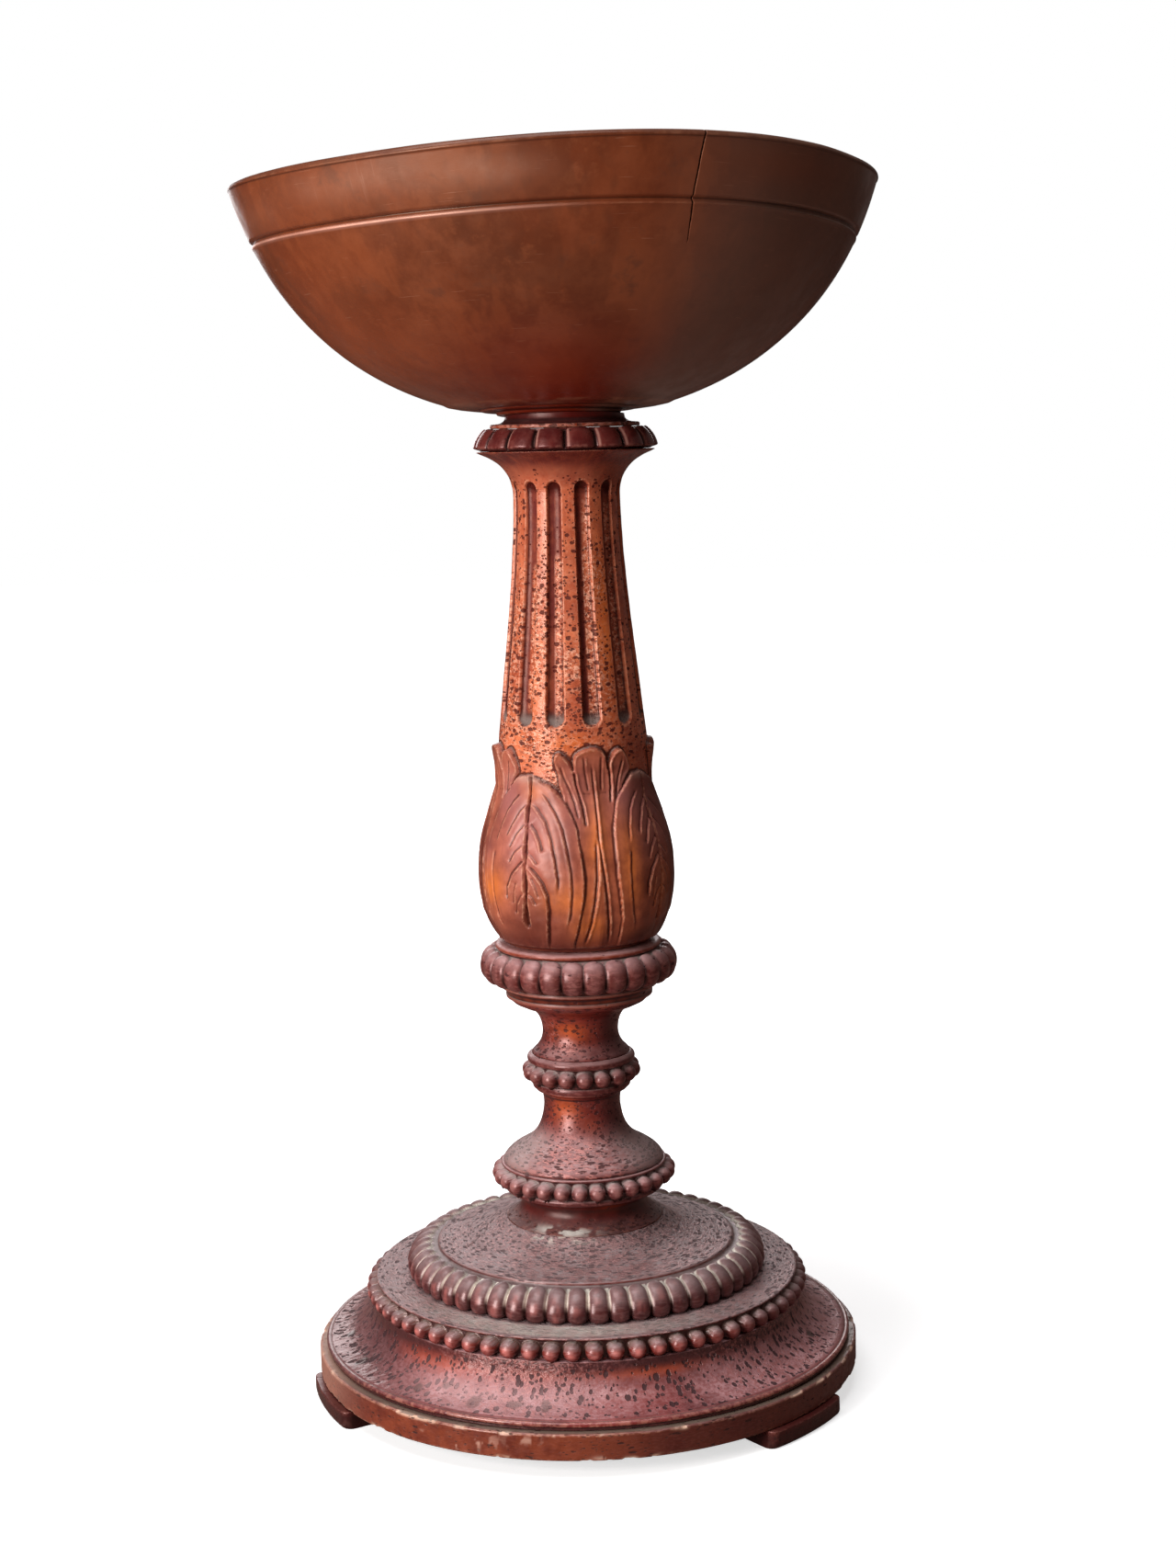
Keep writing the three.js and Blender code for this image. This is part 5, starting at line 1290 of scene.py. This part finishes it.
def wall_run(low, high, spacing):
    z = np.linspace(low, high, max(2, round((high - low) / spacing)))
    return np.stack([RIM * bowl_reach(z / BOWL_HEIGHT) / bowl_reach(1), z], 1)


down = np.linspace(1, 0, 400)
hollow_radius = (RIM - WALL) * bowl_reach(down) / bowl_reach(1)
hollow_side = np.stack([hollow_radius, BOWL_FLOOR + down * (BOWL_HEIGHT - 5 - BOWL_FLOOR)], 1)
hollow_side = resample(np.vstack([hollow_side, [[2.0, BOWL_FLOOR]]]), 3.0)
arc = np.radians(np.linspace(0, 180, 19))
rim_round = [RIM - 6.9 + 6.2 * np.cos(arc), BOWL_HEIGHT - 4.6 + 4.6 * np.sin(arc)]
bowl_foot = [
    (2.0, 0.0), (30, 0.0), (48.6, 0.0), (49.6, 0.3), (50.2, 1.2), (50.8, 2.3), (52.0, 2.9),
    (58.0, 3.1), (61.6, 3.2), (62.8, 3.6), (63.2, 4.5), (64.0, 5.0), (65.6, 4.9), (67.4, 4.7),
    (74.0, 5.0), (82.0, 6.0), (90.0, 7.6),
]
bowl_rows = np.vstack([
    bowl_foot,
    wall_run(9.6, GROOVE - 3.2, 1.7),
    wall_run(GROOVE - 2.8, GROOVE + 4.4, 0.45),
    wall_run(GROOVE + 5.2, BOWL_HEIGHT - 5.2, 1.5),
    np.stack(rim_round, 1),
    hollow_side,
])
even, fine = around(520), np.arange(23.6, 26.8, 0.07)
bowl_turns = np.sort(np.concatenate([even[(even < 23.5) | (even > 26.9)], fine]))
bowl = Turned(bowl_rows, bowl_turns)
r, z = bowl.r, bowl.z
past_rim = np.arange(len(bowl_rows))[:, None] - (len(bowl_rows) - len(hollow_side))
outer = past_rim < -8
beside = z - GROOVE
groove = -1.9 * bell(beside, 1.25)
groove += 0.5 * bell(beside + 2.4, 0.9)
groove -= 0.9 * step(-1.0, 0.4, beside) * step(3.6, 1.2, beside)
bowl_lift = (groove + 0.35 * bowl.wander(90, 141, 3)) * outer
bowl_lift += 0.2 * bowl.wander(60, 142) * ~outer
crack_heights, crack_turns = [109.0, 116.7, 136.5, 166.3, 181.6], [25.5, 25.35, 24.8, 25.2, 25.5]
crack_at = np.interp(z, crack_heights, crack_turns)
crack_at += 0.12 * noise(np.hstack([z, 0 * z, 0 * z]), 9, 143)[:, None]
off = np.radians(bowl_turns - crack_at) * r
cracked = bell(off, 0.28 * step(108, 128, z) + 0.14) * (z > 109) * (past_rim < 14)
bowl_points = bowl.lifted(bowl_lift - 1.6 * cracked)

# Warped by shrinkage, leaning back, and set a little forward and left
a = np.radians(bowl_turns)
warp = (8.5 * np.cos(2 * (a - math.radians(40))) - 5.6 * np.sin(a)) * (r / RIM) ** 6
warp += 8.5 * step(56, 98, bowl.at) * step(178, 104, bowl.at) * (r / RIM) ** 16
x, y, up = np.moveaxis(bowl_points, 2, 0)
up = up + warp
bowl_points = np.stack([
    x * OVAL - LEFT,
    y * math.cos(LEAN) + up * math.sin(LEAN) - FORWARD,
    up * math.cos(LEAN) - y * math.sin(LEAN) + BOWL_BOTTOM,
], 2)
front_low = bell(bowl.at - 4, 52) * step(92, 4, z)
lip = bell(beside + 2.3, 0.8) * step(12, -30, bowl.at)
sheen = bowl.patches((-33, 163, 13, 13, 0.6), (-10, 158, 8, 11, 0.6), (-66, 150, 12, 16, 0.2))
tawny = bowl.patches((-58, 52, 26, 34, 0.8), (-50, 110, 14, 20, 0.5), (42, 162, 14, 16, 0.6))
skin(
    "bowl", "turned", "bowl", BOWL, bowl_points, 230,
    ruddy=np.maximum(front_low, step(70, 62, r)) * outer,
    crack=step(0.05, 0.4, cracked),
    lit=lip * (0.5 + 0.5 * step(-0.4, 0.4, bowl.wander(50, 144))) * outer,
    sheen=sheen * outer,
    # Painted light: lighter and greyer on the right side.
    greyed=step(14, 44, bowl.at) * step(96, 60, bowl.at) * outer,
    brink=step(-20, -17, past_rim) * step(6, 0, past_rim),
    inside=step(-4, 3, past_rim),
    tawny=tawny * outer,
)


# ---------------------------------------------------------------- hidden fixings
# They keep the CAD shape and get a material.
def dull_steel(name):
    material, g = new_material(name)
    stain = g.ramp(g.noise(g.body(), 900, 3), 0.4, 0.65)
    g.surface({
        "Base Color": g.paint((120, 116, 110), (stain, (92, 74, 60))),
        "Roughness": g.ramp(g.noise(g.body(), 1500, 2), 0.3, 0.7, 0.35, 0.6),
        "Metallic": 0.8,
    })
    return material


def bare_wood(name):
    material, g = new_material(name)
    grain = g.ramp(g.noise(g.scaled(g.body(), (12, 12, 1)), 90, 4, 0.6), 0.4, 0.65)
    colour = g.paint((168, 124, 80), (grain, (198, 160, 112)))
    g.surface({"Base Color": colour, "Roughness": 0.75})
    return material


STEEL, DOWEL = dull_steel("dull_steel"), bare_wood("bare_wood")
for node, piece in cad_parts.items():
    if "screw" in node or node == "bowl_dowel":
        piece.data.materials.clear()
        piece.data.materials.append(DOWEL if node == "bowl_dowel" else STEEL)


# ---------------------------------------------------------------- stage, light and camera
def stage_floor(half):
    """White to the camera but for shadows near the object, and a dim ground to all other rays."""
    mesh = bpy.data.meshes.new("floor")
    corners = [(-half, -half, 0), (half, -half, 0), (half, half, 0), (-half, half, 0)]
    mesh.from_pydata(corners, [], [(0, 1, 2, 3)])
    material, g = new_material("pale_floor")
    away = g.vector("LENGTH", g.body())["Value"]
    glow = g.ramp(away, 0.25, 0.9, 0.62, 1.1)
    ground = g.node("BsdfDiffuse", {"Color": (0.2, 0.13, 0.11, 1)})
    pale = g.node("BsdfDiffuse", {"Color": (0.8, 0.8, 0.8, 1)})
    white = g.node("Emission", {"Color": (1, 1, 1, 1), "Strength": glow})
    shown = g.node("AddShader", {0: pale.outputs[0], 1: white.outputs[0]})
    g.node("OutputMaterial", {"Surface": g.to_camera(shown, ground)})
    mesh.materials.append(material)
    floor = bpy.data.objects.new("floor", mesh)
    bpy.context.scene.collection.objects.link(floor)


def soft_light(name, place, target, size, power, colour):
    data = bpy.data.lights.new(name, "AREA")
    data.shape = "RECTANGLE"
    data.size, data.size_y = size
    data.energy = power
    data.color = colour
    lamp = bpy.data.objects.new(name, data)
    lamp.location = place
    lamp.rotation_euler = (Vector(target) - Vector(place)).to_track_quat("-Z", "Y").to_euler()
    bpy.context.scene.collection.objects.link(lamp)


stage_floor(12.0)
soft_light("window_left", (-2.25, -2.3, 1.1), (0, 0, 0.5), (1.4, 1.9), 122, (1.0, 0.985, 0.965))
soft_light("sky_above", (-0.5, -0.5, 3.0), (0, 0, 0.2), (2.0, 2.0), 70, (0.95, 0.975, 1.0))
soft_light("wall_behind", (-0.4, 3.2, 1.3), (0, 0, 0.1), (2.4, 0.9), 22, (0.97, 0.98, 1.0))

world = bpy.data.worlds.new("plain")
world.use_nodes = True
bpy.context.scene.world = world
g = Graph(world.node_tree)
dim = g.node("Background", {"Color": (1.0, 0.8, 0.74, 1), "Strength": 0.13})
white = g.node("Background", {"Color": (1, 1, 1, 1), "Strength": 1.0})
g.node("OutputWorld", {"Surface": g.to_camera(white, dim)})

# The camera fitted to the photograph: focal length and height of the picture in pixels
FOCAL, PICTURE, SENSOR = 2663.7, 1706, 36.0
TILT, ROLL, STAND = 90 - 8.171, -1.436, (0.01158, -2.0081, 0.7941)
camera = bpy.data.objects.new("camera", bpy.data.cameras.new("camera"))
camera.data.sensor_width = SENSOR
camera.data.lens = FOCAL / PICTURE * SENSOR
look = Matrix.Rotation(math.radians(TILT), 4, "X") @ Matrix.Rotation(math.radians(ROLL), 4, "Z")
camera.matrix_world = Matrix.Translation(STAND) @ look
bpy.context.scene.collection.objects.link(camera)
bpy.context.scene.camera = camera
bpy.context.scene.view_settings.view_transform = "Standard"
